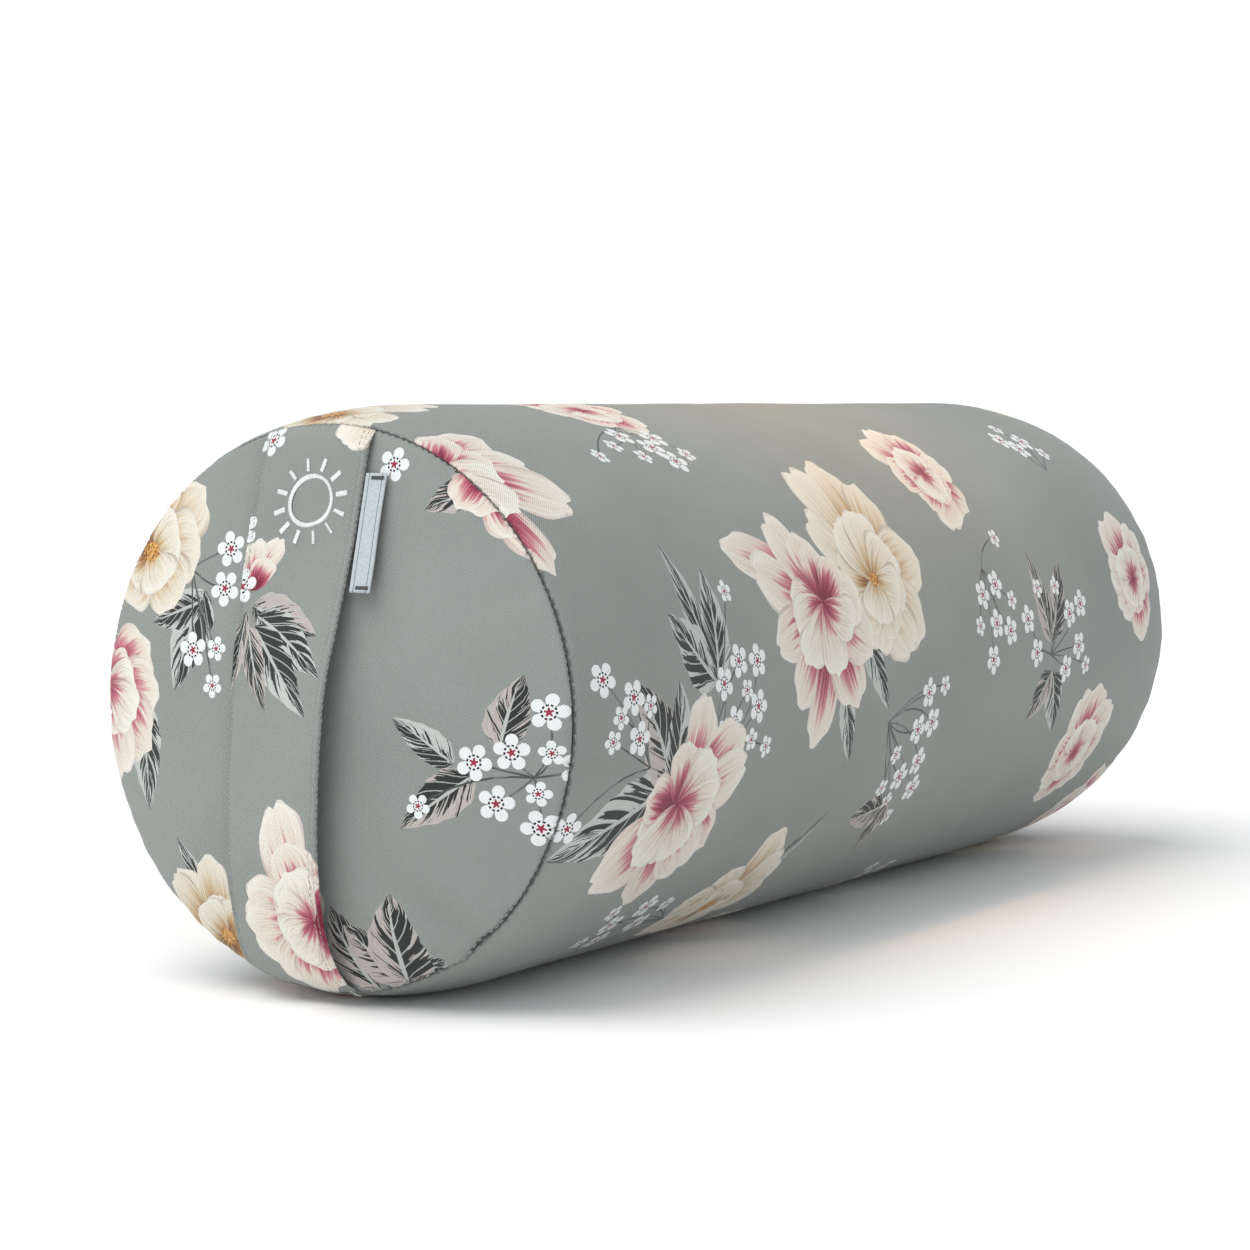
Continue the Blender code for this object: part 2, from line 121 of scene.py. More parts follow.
def held_still(points):
    """0 where the zip and the side label have to stay in place, 1 well away from them."""
    x, y, h = points[:, 0], points[:, 1], points[:, 2] - AXIS_Z
    turn = np.abs((np.degrees(np.arctan2(h, y)) - 10 + 180) % 360 - 180)
    off_zip = eased((turn * math.pi / 180 * RADIUS - 0.010) / 0.030)
    off_zip = np.where(np.abs(x) > HALF_SPAN + 0.0004, 1.0, off_zip)
    reach = np.hypot(y + 0.022, np.maximum(np.abs(h - 0.067) - 0.024, 0))
    off_label = np.where(x < -HALF_SPAN, eased((reach - 0.010) / 0.022), 1.0)
    seam = np.abs(np.abs(x) - HALF_SPAN) < 0.0004
    return np.where(seam, 0.0, off_zip * off_label)


def plain_mesh(name, points, faces):
    mesh = bpy.data.meshes.new(name)
    mesh.from_pydata([tuple(p) for p in points], [], [tuple(f) for f in faces])
    mesh.update()
    return mesh


def inflate():
    """Where the points of the sewn cover go when the filling presses on it."""
    form = bpy.data.objects.new("sewn_cover", plain_mesh("sewn_cover", form_points, form_faces))
    scene.collection.objects.link(form)
    form.shape_key_add(name="sewn")
    cut = form.shape_key_add(name="cut")
    cut.data.foreach_set("co", form_cut.astype(np.float32).ravel())
    cut.value = 0.0
    still = form.vertex_groups.new(name="still")
    for i, w in enumerate(held_still(form_points)):
        if w < 0.02:
            still.add([i], 1.0, "REPLACE")
    cloth = form.modifiers.new("Cloth", "CLOTH")
    s = cloth.settings
    s.quality = 6
    s.mass = 0.25
    s.tension_stiffness = s.compression_stiffness = 35
    s.shear_stiffness = 12
    s.bending_stiffness = 0.05
    s.air_damping = 1
    s.vertex_group_mass = "still"
    s.rest_shape_key = cut
    s.use_pressure = True
    s.uniform_pressure_force = 30
    s.effector_weights.gravity = 0
    cloth.point_cache.frame_end = FRAMES
    for step in range(1, FRAMES + 1):
        scene.frame_set(step)
    shape = form.evaluated_get(bpy.context.evaluated_depsgraph_get()).to_mesh()
    moved = np.empty(len(form_points) * 3, np.float32)
    shape.vertices.foreach_get("co", moved)
    scene.frame_set(1)
    bpy.data.objects.remove(form)
    return moved.reshape(-1, 3).astype(float)


settled = form_points.copy()
moved = inflate() - form_points
far = np.linalg.norm(moved, axis=1)
held = CAP * np.tanh(far / CAP) / np.maximum(far, 1e-9)
settled = form_points + moved * (held * held_still(form_points))[:, None]


def refined(points):
    shape = bpy.data.objects.new("refined", plain_mesh("refined", points, form_faces))
    scene.collection.objects.link(shape)
    shape.modifiers.new("Finer", "SUBSURF").levels = 1
    mesh = shape.evaluated_get(bpy.context.evaluated_depsgraph_get()).to_mesh()
    out = np.empty(len(mesh.vertices) * 3, np.float32)
    mesh.vertices.foreach_get("co", out)
    quads = [tuple(p.vertices) for p in mesh.polygons]
    normals = np.array([v.normal for v in mesh.vertices])
    bpy.data.objects.remove(shape)
    return out.reshape(-1, 3).astype(float), quads, normals


def puckers(point):
    """Small gathers that stitching leaves beside the seams, and the filling's own unevenness."""
    x, y, h = point[0], point[1], point[2] - AXIS_Z
    across = math.hypot(y, h)
    end = abs(x) > HALF_SPAN + 0.0003
    side = math.copysign(1.0, x)
    from_seam = (SEAM_RADIUS - across) if end else HALF_SPAN - abs(x)
    turn = Vector((y, h, 0)) / max(across, 1e-6)
    rise = 0.0009 * noise.noise(Vector((x * 13, y * 17, h * 17 + side)))
    gather = noise.noise(turn * 9.5 + Vector((0, 0, 3 * side)))
    gather += 0.6 * noise.noise(turn * 19 + Vector((0, 0, side)))
    rise += 0.0010 * gather * math.exp(-max(from_seam, 0) / 0.011)
    if end and side < 0:
        along = (y + 0.054) * -0.83 + (h + 0.074) * -0.55
        beside = (y + 0.054) * -0.55 - (h + 0.074) * -0.83
        rise += math.exp(-(along / 0.017) ** 2) * (
            0.0026 * math.exp(-((beside + 0.010) / 0.006) ** 2) - 0.0030 * math.exp(-(beside / 0.0056) ** 2)
            + 0.0016 * math.exp(-((beside - 0.011) / 0.006) ** 2))
        along = (y + 0.052) * 0.35 + (h - 0.088) * 0.94
        beside = (y + 0.052) * 0.94 - (h - 0.088) * 0.35
        fade = math.exp(-(along / 0.018) ** 2) * math.exp(-(beside / 0.016) ** 2)
        rise += 0.0011 * math.sin(beside / 0.0036) * fade
    return rise


rest_fine, fine_quads, fine_normals = refined(form_points)
settled_fine = refined(settled)[0]
give = np.array([puckers(p) for p in rest_fine]) * held_still(rest_fine)
settled_fine = settled_fine + fine_normals * give[:, None]
settled_fine[:, 2] = np.maximum(settled_fine[:, 2], 0.0)
triangles = [t for q in fine_quads for t in ((q[0], q[1], q[2]), (q[0], q[2], q[3]))]
tree = BVHTree.FromPolygons([Vector(p) for p in rest_fine], triangles)
rest_vectors = [Vector(p) for p in rest_fine]
settled_vectors = [Vector(p) for p in settled_fine]


def carry(points):
    """The same points after the filling has settled: each goes with the cover nearest to it."""
    out = np.empty((len(points), 3))
    for i, p in enumerate(points):
        at, _, face, _ = tree.find_nearest(Vector(p))
        a, b, c = triangles[face]
        moved = barycentric_transform(at, rest_vectors[a], rest_vectors[b], rest_vectors[c],
                                      settled_vectors[a], settled_vectors[b], settled_vectors[c])
        out[i] = np.array(p) + np.array(moved - at)
    out[:, 2] = np.maximum(out[:, 2], 0.0)
    return out


# ---------------------------------------------------------------------------------------------
# Panels of cloth. Each is drawn flat in millimetres, right and down, as it is cut: the outline,
# the printed shapes and a net of points are joined into triangles, wrapped to the shape, and
# closed with a plain inner face. Edges turn in where a seam or a fold takes them.
GROUND, PINK, GOLD, LEAF, BLOSSOM, STEM, HEART, REVERSE = range(8)


def turned_in(gap, width, fall):
    left = np.clip(1 - gap / width, 0, 1)
    return fall * (1 - np.sqrt(1 - left**2))


def half_width(kind, p, width):
    p = np.clip(p, 0, 1)
    leaf = np.sin(math.pi * p**0.72) ** 0.80 * (1.04 - 0.25 * p)
    petal = 1.45 * (p + 0.02) ** 0.66 * np.sqrt(1 - p**4)
    return np.where(kind == LEAF, leaf, petal) * width / 2


def motif_place(motif, points):
    """Where points lie on a printed shape: along it from 0 to 1, and across it from -1 to 1."""
    off = points - motif["at"]
    along = off @ motif["axis"] / motif["length"]
    across = off @ np.array([-motif["axis"][1], motif["axis"][0]]) / motif["length"]
    if motif["kind"] in (PINK, GOLD, LEAF):
        across = across - motif["bend"] * along**2
        wide = half_width(motif["kind"], along, motif["width"] / motif["length"])
        across = np.clip(across / np.maximum(wide, 0.02), -1.3, 1.3)
    return np.stack([along, across, np.full(len(points), motif["tone"])], axis=1)


def panel(name, outline, net, motifs, place, lining_net, lining_place, material, layout):
    """A closed piece of cloth. place and lining_place put flat points, in mm, on the outer and
    the inner face in metres, and layout gives each face's box in the piece's own UV map."""
    flat = [Vector(p) for p in outline]
    loops = [list(range(len(flat)))]
    for motif in motifs:
        loops.append(list(range(len(flat), len(flat) + len(motif["outline"]))))
        flat += [Vector(p) for p in motif["outline"]]
    flat += [Vector(p) for p in net]
    points, _, faces, _, _, owners = delaunay_2d_cdt(flat, [], loops, 0, 1e-3, True)
    points = np.array([tuple(p) for p in points])
    corner = points[np.array(faces)]
    size = np.abs(np.cross(corner[:, 1] - corner[:, 0], corner[:, 2] - corner[:, 0])) / 2
    spread = np.zeros(len(motifs) + 1)
    for f, o in enumerate(owners):
        spread[o] += size[f]
    for m, motif in enumerate(motifs):          # a shape whose outline crosses itself is left out
        ring = np.array(motif["outline"])
        own = abs(np.sum(ring[:, 0] * np.roll(ring[:, 1], -1) - ring[:, 1] * np.roll(ring[:, 0], -1))) / 2
        spread[m + 1] = spread[m + 1] <= own * 1.25 + 4
    spread[0] = 1
    kept = [(f, max(i for i in o if spread[i]) - 1) for f, o in zip(faces, owners) if 0 in o]
    edges = {}
    for f, _ in kept:
        for i in range(3):
            a, b = f[i], f[(i + 1) % 3]
            edges[b, a] = a
            if (a, b) in edges:
                del edges[a, b], edges[b, a]
    follow = {a: b for b, a in edges}
    start = next(iter(follow))
    rim = [start]
    while follow[rim[-1]] != start:
        rim.append(follow[rim[-1]])
    flat = [Vector(points[i]) for i in rim] + [Vector(p) for p in lining_net]
    inner, _, inner_faces, inner_from, _, owners = delaunay_2d_cdt(
        flat, [], [list(range(len(rim)))], 0, 1e-3, True)
    used = {i for f, _ in kept for i in f}
    number = {old: new for new, old in enumerate(sorted(used))}
    outer_flat = points[sorted(used)]
    inner_number, inner_flat = {}, []
    for i, origins in enumerate(inner_from):
        on_rim = [o for o in origins if o < len(rim)]
        if on_rim:
            inner_number[i] = number[rim[on_rim[0]]]
        else:
            inner_number[i] = len(outer_flat) + len(inner_flat)
            inner_flat.append(tuple(inner[i]))
    inner_flat = np.array(inner_flat)
    solid = np.vstack([place(outer_flat), lining_place(inner_flat)])
    outer_faces = [tuple(number[i] for i in f[::-1]) for f, _ in kept]
    lining = [tuple(inner_number[i] for i in f) for f, o in zip(inner_faces, owners) if 0 in o]
    mesh = plain_mesh(name, solid, outer_faces + lining)
    mesh.shade_smooth()
    all_flat = np.vstack([outer_flat, inner_flat])
    cloth = mesh.attributes.new("cloth", "FLOAT_VECTOR", "POINT")
    cloth.data.foreach_set("vector", np.pad(all_flat, ((0, 0), (0, 1))).astype(np.float32).ravel())
    kinds = [GROUND if m < 0 else motifs[m]["kind"] for _, m in kept] + [REVERSE] * len(lining)
    mesh.attributes.new("kind", "FLOAT", "FACE").data.foreach_set("value", kinds)
    owner = np.repeat([m for _, m in kept] + [-1] * len(lining), 3)
    corner_points = np.array([i for f in outer_faces + lining for i in f])
    spots = np.zeros((len(corner_points), 3), np.float32)
    for m in set(owner) - {-1}:
        mine = owner == m
        spots[mine] = motif_place(motifs[m], all_flat[corner_points[mine]])
    mesh.attributes.new("motif", "FLOAT_VECTOR", "CORNER").data.foreach_set("vector", spots.ravel())
    low, high = all_flat.min(0), all_flat.max(0)
    unit = (all_flat[corner_points] - low) / (high - low)
    inside = np.repeat([False] * len(outer_faces) + [True] * len(lining), 3)
    for face, box in ((False, layout[0]), (True, layout[1])):
        mine = inside == face
        unit[mine] = np.array(box[:2]) + unit[mine] * np.array([box[2] - box[0], box[3] - box[1]])
    mesh.uv_layers.new(name="OFBake").data.foreach_set("uv", unit.astype(np.float32).ravel())
    mesh.materials.append(material)
    piece = bpy.data.objects.new(name, mesh)
    scene.collection.objects.link(piece)
    return piece


def net_of(us, vs):
    return [(u, v) for u in us for v in vs]


def bordered(low_u, high_u, low_v, high_v, step):
    """The outline of a strip with points all along its edges, so that they can curve."""
    us, vs = (np.linspace(low, high, round((high - low) / step) + 1)
              for low, high in ((low_u, high_u), (low_v, high_v)))
    return ([(u, low_v) for u in us[:-1]] + [(high_u, v) for v in vs[:-1]]
            + [(u, high_v) for u in us[:0:-1]] + [(low_u, v) for v in vs[:0:-1]])


def edge_rows(low, high, step, close):
    """Rows of points from low to high, close together beside both edges."""
    count = max(2, round((high - low - 2 * close[-1]) / step))
    middle = np.linspace(low + close[-1], high - close[-1], count)
    return np.concatenate([low + np.array(close[:-1]), middle, high - np.array(close[:-1])[::-1]])


def on_body(flat, depth):
    """Flat body cloth, x and the way round from the zip, to its place in metres."""
    x = flat[:, 0] / 1000
    turn = ZIP_ANGLE + flat[:, 1] / 1000 / RADIUS
    radius = cover_radius(x) - depth
    height = np.maximum(AXIS_Z + radius * np.sin(turn), depth)
    return carry(np.stack([x, radius * np.cos(turn), height], axis=1))


def on_end(side):
    """Flat cloth of a round end to its place; tuck draws it in towards the middle at its seam."""
    def place(flat, depth, tuck):
        across, up = side * flat[:, 0] / 1000, -flat[:, 1] / 1000
        x = side * (HALF_SPAN + 0.0005 + end_bulge(across, up) - depth)
        drawn = 1 - tuck / np.maximum(np.hypot(across, up), 1e-6)
        return carry(np.stack([x, across * drawn, AXIS_Z + up * drawn], axis=1))
    return place


def circle(radius, count):
    return [(radius * math.cos(math.tau * i / count), radius * math.sin(math.tau * i / count))
            for i in range(count)]


def round_net(radius, step, close):
    """Points for a round panel, in a square net with close rings beside the edge."""
    grid = np.arange(-radius, radius, step)
    net = [(u, v) for u in grid for v in grid if math.hypot(u, v) < radius - close[-1] - step * 0.6]
    for gap in close:
        net += circle(radius - gap, round(math.tau * radius / max(step * 0.8, 3)))
    return net


# ---------------------------------------------------------------------------------------------
# Filling and inner case. Curled polyester fibre in a plain calico case, a tube with two round
# ends, which the zipped cover goes over. Both are only seen with the cover off.
def linear(hexed):
    """An sRGB hex colour as the linear colour that a shader takes."""
    parts = [int(hexed[i:i + 2], 16) / 255 for i in (1, 3, 5)]
    return tuple(c / 12.92 if c <= 0.04045 else ((c + 0.055) / 1.055) ** 2.4 for c in parts) + (1.0,)


def add(group, kind, inputs=None, **settings):
    """Adds a node with its settings, and gives its inputs values or links. A node given as an
    input stands for its first output."""
    made = group.nodes.new(kind)
    for name, value in settings.items():
        setattr(made, name, value)
    for name, value in (inputs or {}).items():
        if isinstance(value, bpy.types.Node):
            value = value.outputs[0]
        if isinstance(value, bpy.types.NodeSocket):
            group.links.new(value, made.inputs[name])
        else:
            made.inputs[name].default_value = value
    return made


def new_finish(name, **constants):
    """A material with its surface shader, whose constants are set on its own sockets."""
    material = bpy.data.materials.new(name)
    material.use_nodes = True
    group = material.node_tree
    group.nodes.clear()
    surface = add(group, "ShaderNodeBsdfPrincipled", {k.replace("_", " "): v for k, v in constants.items()})
    add(group, "ShaderNodeOutputMaterial", {"Surface": surface})
    return material, group, surface


def shades(ramp, *stops):
    """Gives a colour ramp its stops, each a position and a hex colour."""
    ends = ramp.color_ramp.elements
    ends[0].position, ends[0].color = stops[0][0], linear(stops[0][1])
    ends[1].position, ends[1].color = stops[-1][0], linear(stops[-1][1])
    for at, hexed in stops[1:-1]:
        ends.new(at).color = linear(hexed)


# Calico: unbleached plain-weave cotton, matt, with darker flecks of seed husk. The weave is
# really 0.4 mm and is drawn at 0.8 mm so that it shows.
calico, group, surface = new_finish("calico_cotton", Roughness=0.9, Sheen_Weight=0.2, Sheen_Roughness=0.5)
where = add(group, "ShaderNodeAttribute", attribute_name="cloth").outputs["Vector"]
split = add(group, "ShaderNodeSeparateXYZ", {0: where})
warp = add(group, "ShaderNodeMath", {0: split, 1: math.tau / 0.8}, operation="MULTIPLY")
weft = add(group, "ShaderNodeMath", {0: split.outputs[1], 1: math.tau / 0.8}, operation="MULTIPLY")
warp = add(group, "ShaderNodeMath", {0: warp}, operation="SINE")
weft = add(group, "ShaderNodeMath", {0: weft}, operation="SINE")
weave = add(group, "ShaderNodeMath", {0: warp, 1: weft}, operation="MULTIPLY")
flecks = add(group, "ShaderNodeTexNoise", {"Vector": where, "Scale": 0.35, "Detail": 4.0})
tone = add(group, "ShaderNodeValToRGB", {0: flecks})
shades(tone, (0.30, "#c9bd9f"), (0.62, "#e4dcc6"))
group.links.new(tone.outputs[0], surface.inputs["Base Color"])
bump = add(group, "ShaderNodeBump", {"Height": weave, "Strength": 0.3, "Distance": 0.0002})
group.links.new(bump.outputs[0], surface.inputs["Normal"])

case_rows = (0.4, 1.0, 2.0, 4.0)
ZIP_RECESS = 2.4
FLAT_HALF = HALF_SPAN * 1000
ROUND = RADIUS * math.tau * 1000


def case_tube(flat, fall):
    """The case lies close behind the cover, and further in behind the zip."""
    gap = FLAT_HALF - 1.2 - np.abs(flat[:, 0])
    to_zip = np.minimum(flat[:, 1], ROUND - flat[:, 1])
    clear = ZIP_RECESS * eased((24.0 - to_zip) / 16.0) * np.clip((260.5 - np.abs(flat[:, 0])) / 10.0, 0, 1)
    return on_body(flat, 0.0021 + (turned_in(gap, 2.0, 0.4) + fall + clear) / 1000)


whole = bordered(-FLAT_HALF + 1.2, FLAT_HALF - 1.2, 0.15, ROUND - 0.15, 8.0)
rows_u = edge_rows(-FLAT_HALF + 1.2, FLAT_HALF - 1.2, 10, case_rows)
rows_v = edge_rows(0.15, ROUND - 0.15, 8, (0.6, 2.0))
case_body = panel("calico_tube", whole, net_of(rows_u[1:-1], rows_v[1:-1]), [],
                  lambda f: case_tube(f, 0.0), net_of(rows_u[2:-2], rows_v[1:-1]),
                  lambda f: case_tube(f, 0.8), calico, ((0.0, 0.0, 0.5, 1.0), (0.5, 0.0, 1.0, 1.0)))
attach(case_body, "bolster")
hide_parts("inner_case_body")

for side, end in ((-1, "front"), (1, "rear")):
    lie = on_end(side)
    reach = SEAM_RADIUS * 1000 - 2.4
    net = round_net(reach, 5, (0.4, 1.2, 3.0))

    def case_end(flat, fall=0.0):
        gap = reach - np.hypot(flat[:, 0], flat[:, 1])
        return lie(flat, (2.1 + fall) / 1000, (turned_in(gap, 2.0, 0.4) + 0.3 * fall) / 1000)

    piece = panel(f"calico_disc_{end}", circle(reach, 160), net, [], case_end, net,
                  lambda f: case_end(f, 0.8), calico, ((0.0, 0.0, 0.5, 0.5), (0.5, 0.5, 1.0, 1.0)))
    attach(piece, "bolster")
    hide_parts(f"inner_case_end_{end}")

# Polyester fibre: white crimped filaments with a soft matt surface. The crimp is drawn as a
# 3 mm tangle, coarser than the real one, so that it shows.
fibre, group, surface = new_finish("polyester_fibre", Roughness=1.0, Sheen_Weight=0.5, Sheen_Roughness=0.6)
where = add(group, "ShaderNodeTexCoord").outputs["Object"]
tangle = add(group, "ShaderNodeTexNoise", {"Vector": where, "Scale": 320.0, "Detail": 6.0,
                                           "Distortion": 3.0})
tone = add(group, "ShaderNodeValToRGB", {0: tangle})
shades(tone, (0.35, "#cfcfca"), (0.65, "#f4f3ee"))
group.links.new(tone.outputs[0], surface.inputs["Base Color"])
bump = add(group, "ShaderNodeBump", {"Height": tangle, "Strength": 0.8, "Distance": 0.002})
group.links.new(bump.outputs[0], surface.inputs["Normal"])

inward = settled_fine.copy()
for i, (p, n) in enumerate(zip(settled_fine, fine_normals)):
    lump = 0.0035 + 0.0012 * (1 + noise.noise(Vector(p) * 45)) / 2
    end_in = 0.0035 if abs(abs(p[0]) - HALF_SPAN) < 0.004 else 0.0
    inward[i] = p - n * (lump + end_in)
filling = bpy.data.objects.new("fibre_stuffing", plain_mesh("fibre_stuffing", inward, fine_quads))
filling.data.shade_smooth()
filling.data.materials.append(fibre)
scene.collection.objects.link(filling)
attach(filling, "bolster")
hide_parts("filling")

# ---------------------------------------------------------------------------------------------
# Cover. Printed cotton twill: a body panel wrapped round from the zip, and two round ends. The
# print is loose bunches of peonies, pointed leaves and sprays of small five-petalled blossom.
SEED = 7
rng = np.random.default_rng(SEED)


def printed(into, kind, outline, at, axis, length, width=1.0, bend=0.0, tone=0.0):
    into.append(dict(kind=kind, outline=outline, at=np.array(at, float), axis=np.array(axis, float),
                     length=length, width=width, bend=bend, tone=tone))


def leaf_or_petal(into, base, tip, width, kind, bend=0.0, tone=None):
    """A shape drawn from its base to its tip; petals end in a broad notched lip."""
    base, tip = np.array(base, float), np.array(tip, float)
    length = float(np.hypot(*(tip - base)))
    axis = (tip - base) / length
    tone = float(rng.uniform(0, 1)) if tone is None else tone
    count = 22
    p = (1 - np.cos(np.linspace(0, math.pi, count))) / 2
    wide = half_width(kind, p, width / length)
    wide[[0, -1]] = 0
    if kind == LEAF:
        upper = wide * (1 + 0.055 * np.sin(31 * p + 9 * tone))
        lower = -wide * (1 + 0.055 * np.sin(27 * p + 23 * tone))
        lip = np.zeros(count)
    else:
        upper = wide * (1 + 0.07 * np.sin(8 * p + 20 * tone))
        lower = -wide * (1 + 0.07 * np.sin(7 * p + 33 * tone))
        lip = 0.045 * p**10 * np.cos(6.5 * wide / max(wide) + 6 * tone)
    rows = [(p[i] + lip[i], upper[i]) for i in range(count)]
    rows += [(p[i] + lip[i] * 0.8, lower[i]) for i in range(count - 2, 0, -1)]
    outline = []
    for along, across in rows:
        across = across + bend * along**2
        outline.append(tuple(base + length * (along * axis + across * np.array([-axis[1], axis[0]]))))
    printed(into, kind, outline[::-1], base, axis, length, width, bend, tone)


def blossom(into, centre, radius, turn=None):
    turn = float(rng.uniform(0, 1.2)) if turn is None else turn
    outline = []
    for i in range(40):
        a = math.tau * i / 40
        lobe = abs(math.cos(2.5 * a)) ** 0.55
        out = radius * (0.44 + 0.56 * lobe)
        outline.append((centre[0] + out * math.cos(a + turn), centre[1] + out * math.sin(a + turn)))
    printed(into, BLOSSOM, outline, centre, (math.cos(turn), math.sin(turn)), radius,
            tone=float(rng.uniform(0, 1)))


def stem(into, start, end, sag=0.12, thick=0.9):
    start, end = np.array(start, float), np.array(end, float)
    run = end - start
    length = float(np.hypot(*run))
    side = np.array([-run[1], run[0]]) / length
    left, right = [], []
    for t in np.linspace(0, 1, 7):
        middle = start + run * t + side * sag * length * 4 * t * (1 - t)
        left.append(tuple(middle + side * thick / 2))
        right.append(tuple(middle - side * thick / 2))
    printed(into, STEM, right + left[::-1], start, run / length, length)


def heart(into, centre, radius, turn=0.0):
    """The tuft of stamens in an open flower."""
    outline = []
    for i in range(28):
        a = math.tau * i / 28
        out = radius * (1.0 if i % 2 else 0.68)
        outline.append((centre[0] + out * math.cos(a), centre[1] + 0.8 * out * math.sin(a)))
    printed(into, HEART, outline, centre, (math.cos(turn), math.sin(turn)), radius,
            tone=float(rng.uniform(0, 1)))


def shifted(du=0.0, dv=0.0, turn=0.0, mirror=False, about=(0.0, 0.0)):
    """Moves a bunch on the cloth, so that the repeat of the print fills the sides."""
    c, s = math.cos(math.radians(turn)), math.sin(math.radians(turn))

    def move(point):
        u, v = point[0] - about[0], point[1] - about[1]
        u = -u if mirror else u
        return (about[0] + du + c * u - s * v, about[1] + dv + s * u + c * v)
    return move


def flower(into, move, throat, tips, width, kind, front=(), core=None):
    """Back petals deep in colour, a ring of short ones round the throat, then pale front petals."""
    for tip in tips:
        leaf_or_petal(into, move(throat), move(tip), width * float(rng.uniform(0.80, 1.05)), kind,
                      float(rng.uniform(-0.2, 0.2)),
                      float(rng.uniform(0.55, 1.10)))
    reach = 0.55 * float(np.mean([math.hypot(tip[0] - throat[0], tip[1] - throat[1]) for tip in tips]))
    for i in range(6 if front else 0):
        turn = math.tau * (i + float(rng.uniform(0, 0.6))) / 6
        tip = (throat[0] + reach * math.cos(turn), throat[1] + reach * math.sin(turn))
        leaf_or_petal(into, move(throat), move(tip), width * 0.72, kind, 0.0, float(rng.uniform(0.75, 1.15)))
    for tip in front:
        leaf_or_petal(into, move(throat), move(tip), width * 0.80, kind, float(rng.uniform(-0.2, 0.2)),
                      float(rng.uniform(0.0, 0.40)))
    if core:
        heart(into, move(throat), core)


def leaves(into, move, *items):
    for base, tip, width in items:
        leaf_or_petal(into, move(base), move(tip), width, LEAF, float(rng.uniform(-0.18, 0.18)))


def spray(into, move, root, big, small=()):
    for spot in list(big) + list(small):
        stem(into, move(root), move(spot), float(rng.uniform(-0.14, 0.14)), 0.8)
    for spot in big:
        blossom(into, move(spot), 7.0)
    for spot in small:
        blossom(into, move(spot), 4.8)


def peony_bunch(into, move):
    leaves(into, move, ((-192, 331), (-214, 279), 16), ((-192, 333), (-223, 308), 25),
           ((-191, 333), (-182, 288), 21),
           ((-226, 372), (-287, 392), 30), ((-222, 370), (-250, 326), 27), ((-220, 372), (-218, 330), 22))
    spray(into, move, (-196, 366), [(-186, 334), (-173, 326), (-158, 327), (-178, 350), (-159, 345)],
          [(-168, 338), (-186, 352), (-150, 362), (-163, 358), (-172, 298)])
    spray(into, move, (-240, 362), [(-271, 326), (-254, 334), (-250, 350), (-281, 384)],
          [(-262, 341), (-243, 338), (-266, 350)])
    flower(into, move, (-212, 380), [(-196, 340), (-172, 352), (-164, 374), (-174, 398), (-256, 402),
                                     (-240, 418), (-212, 426), (-188, 414)],
           29, PINK, [(-190, 362), (-182, 384), (-198, 404), (-228, 404)])


def wide_bunch(into, move):
    leaves(into, move, ((-66, 318), (-46, 358), 17), ((-84, 344), (-74, 378), 14),
           ((-84, 300), (-64, 284), 15))
    spray(into, move, (-40, 362), [(-2, 352), (-8, 368), (6, 366), (2, 384), (-12, 390), (8, 398)],
          [(-24, 378), (-26, 394), (-14, 402), (14, 350), (-2, 412)])
    leaves(into, move, ((-16, 404), (-42, 412), 19), ((-12, 404), (-10, 430), 15))
    flower(into, move, (-44, 300), [(-78, 268), (-58, 242), (-30, 240), (-8, 258), (2, 288), (-4, 318),
                                    (-26, 336), (-54, 330)],
           33, GOLD, [(-60, 274), (-38, 266), (-20, 284), (-24, 310), (-50, 318)], 5.0)
    flower(into, move, (-94, 308), [(-150, 268), (-144, 296), (-120, 272), (-96, 276), (-138, 324),
                                    (-122, 348), (-102, 366), (-80, 354), (-60, 332), (-62, 306)],
           27, PINK, [(-122, 312), (-112, 334), (-90, 338), (-72, 320)])


def small_peony(into, move, throat=(60, 250)):
    u, v = throat
    flower(into, move, throat, [(u - 22, v - 28), (u, v - 36), (u + 20, v - 28), (u + 27, v - 4),
                                (u + 16, v + 22), (u, v + 30),
                                (u - 18, v + 18), (u - 27, v - 6)], 25, PINK,
           [(u - 12, v - 14), (u + 8, v - 18), (u + 12, v + 6), (u - 8, v + 12)])


def beige_bunch(into, move):
    spray(into, move, (-150, 452), [(-204, 442), (-186, 434), (-176, 448), (-196, 456)],
          [(-214, 432), (-168, 436), (-214, 452)])
    leaves(into, move, ((-100, 438), (-72, 398), 9))
    flower(into, move, (-116, 450), [(-98, 408), (-84, 426), (-80, 446), (-132, 424), (-150, 440),
                                     (-152, 460), (-130, 472), (-104, 474)],
           27, GOLD, [(-112, 432), (-128, 446), (-104, 458)], 6)


body_print = []
here = shifted()
for move in (shifted(46, -272), shifted(-30, 262, mirror=True),
             shifted(300, 250, turn=-20, about=(-100, 320))):
    peony_bunch(body_print, move)
    wide_bunch(body_print, move)
for u, v in ((-235, 40), (215, 30), (-60, 505), (255, 450), (-262, 545), (30, 660)):
    small_peony(body_print, shifted(u - 60, v - 250, turn=float(rng.uniform(-90, 90)), about=(60, 250)))
for u, v in ((-40, 130), (190, 120), (-260, 640), (60, 470), (190, 640)):
    spray(body_print, here, (u + 4, v + 24), [(u, v), (u + 15, v - 6), (u - 14, v + 8), (u + 10, v + 12)],
          [(u - 10, v - 12), (u + 24, v + 6)])
    leaves(body_print, here, ((u + 4, v + 24), (u - 26, v + 34), 16),
           ((u + 4, v + 24), (u + 30, v + 36), 15))
small_peony(body_print, shifted(), (-142, 184))
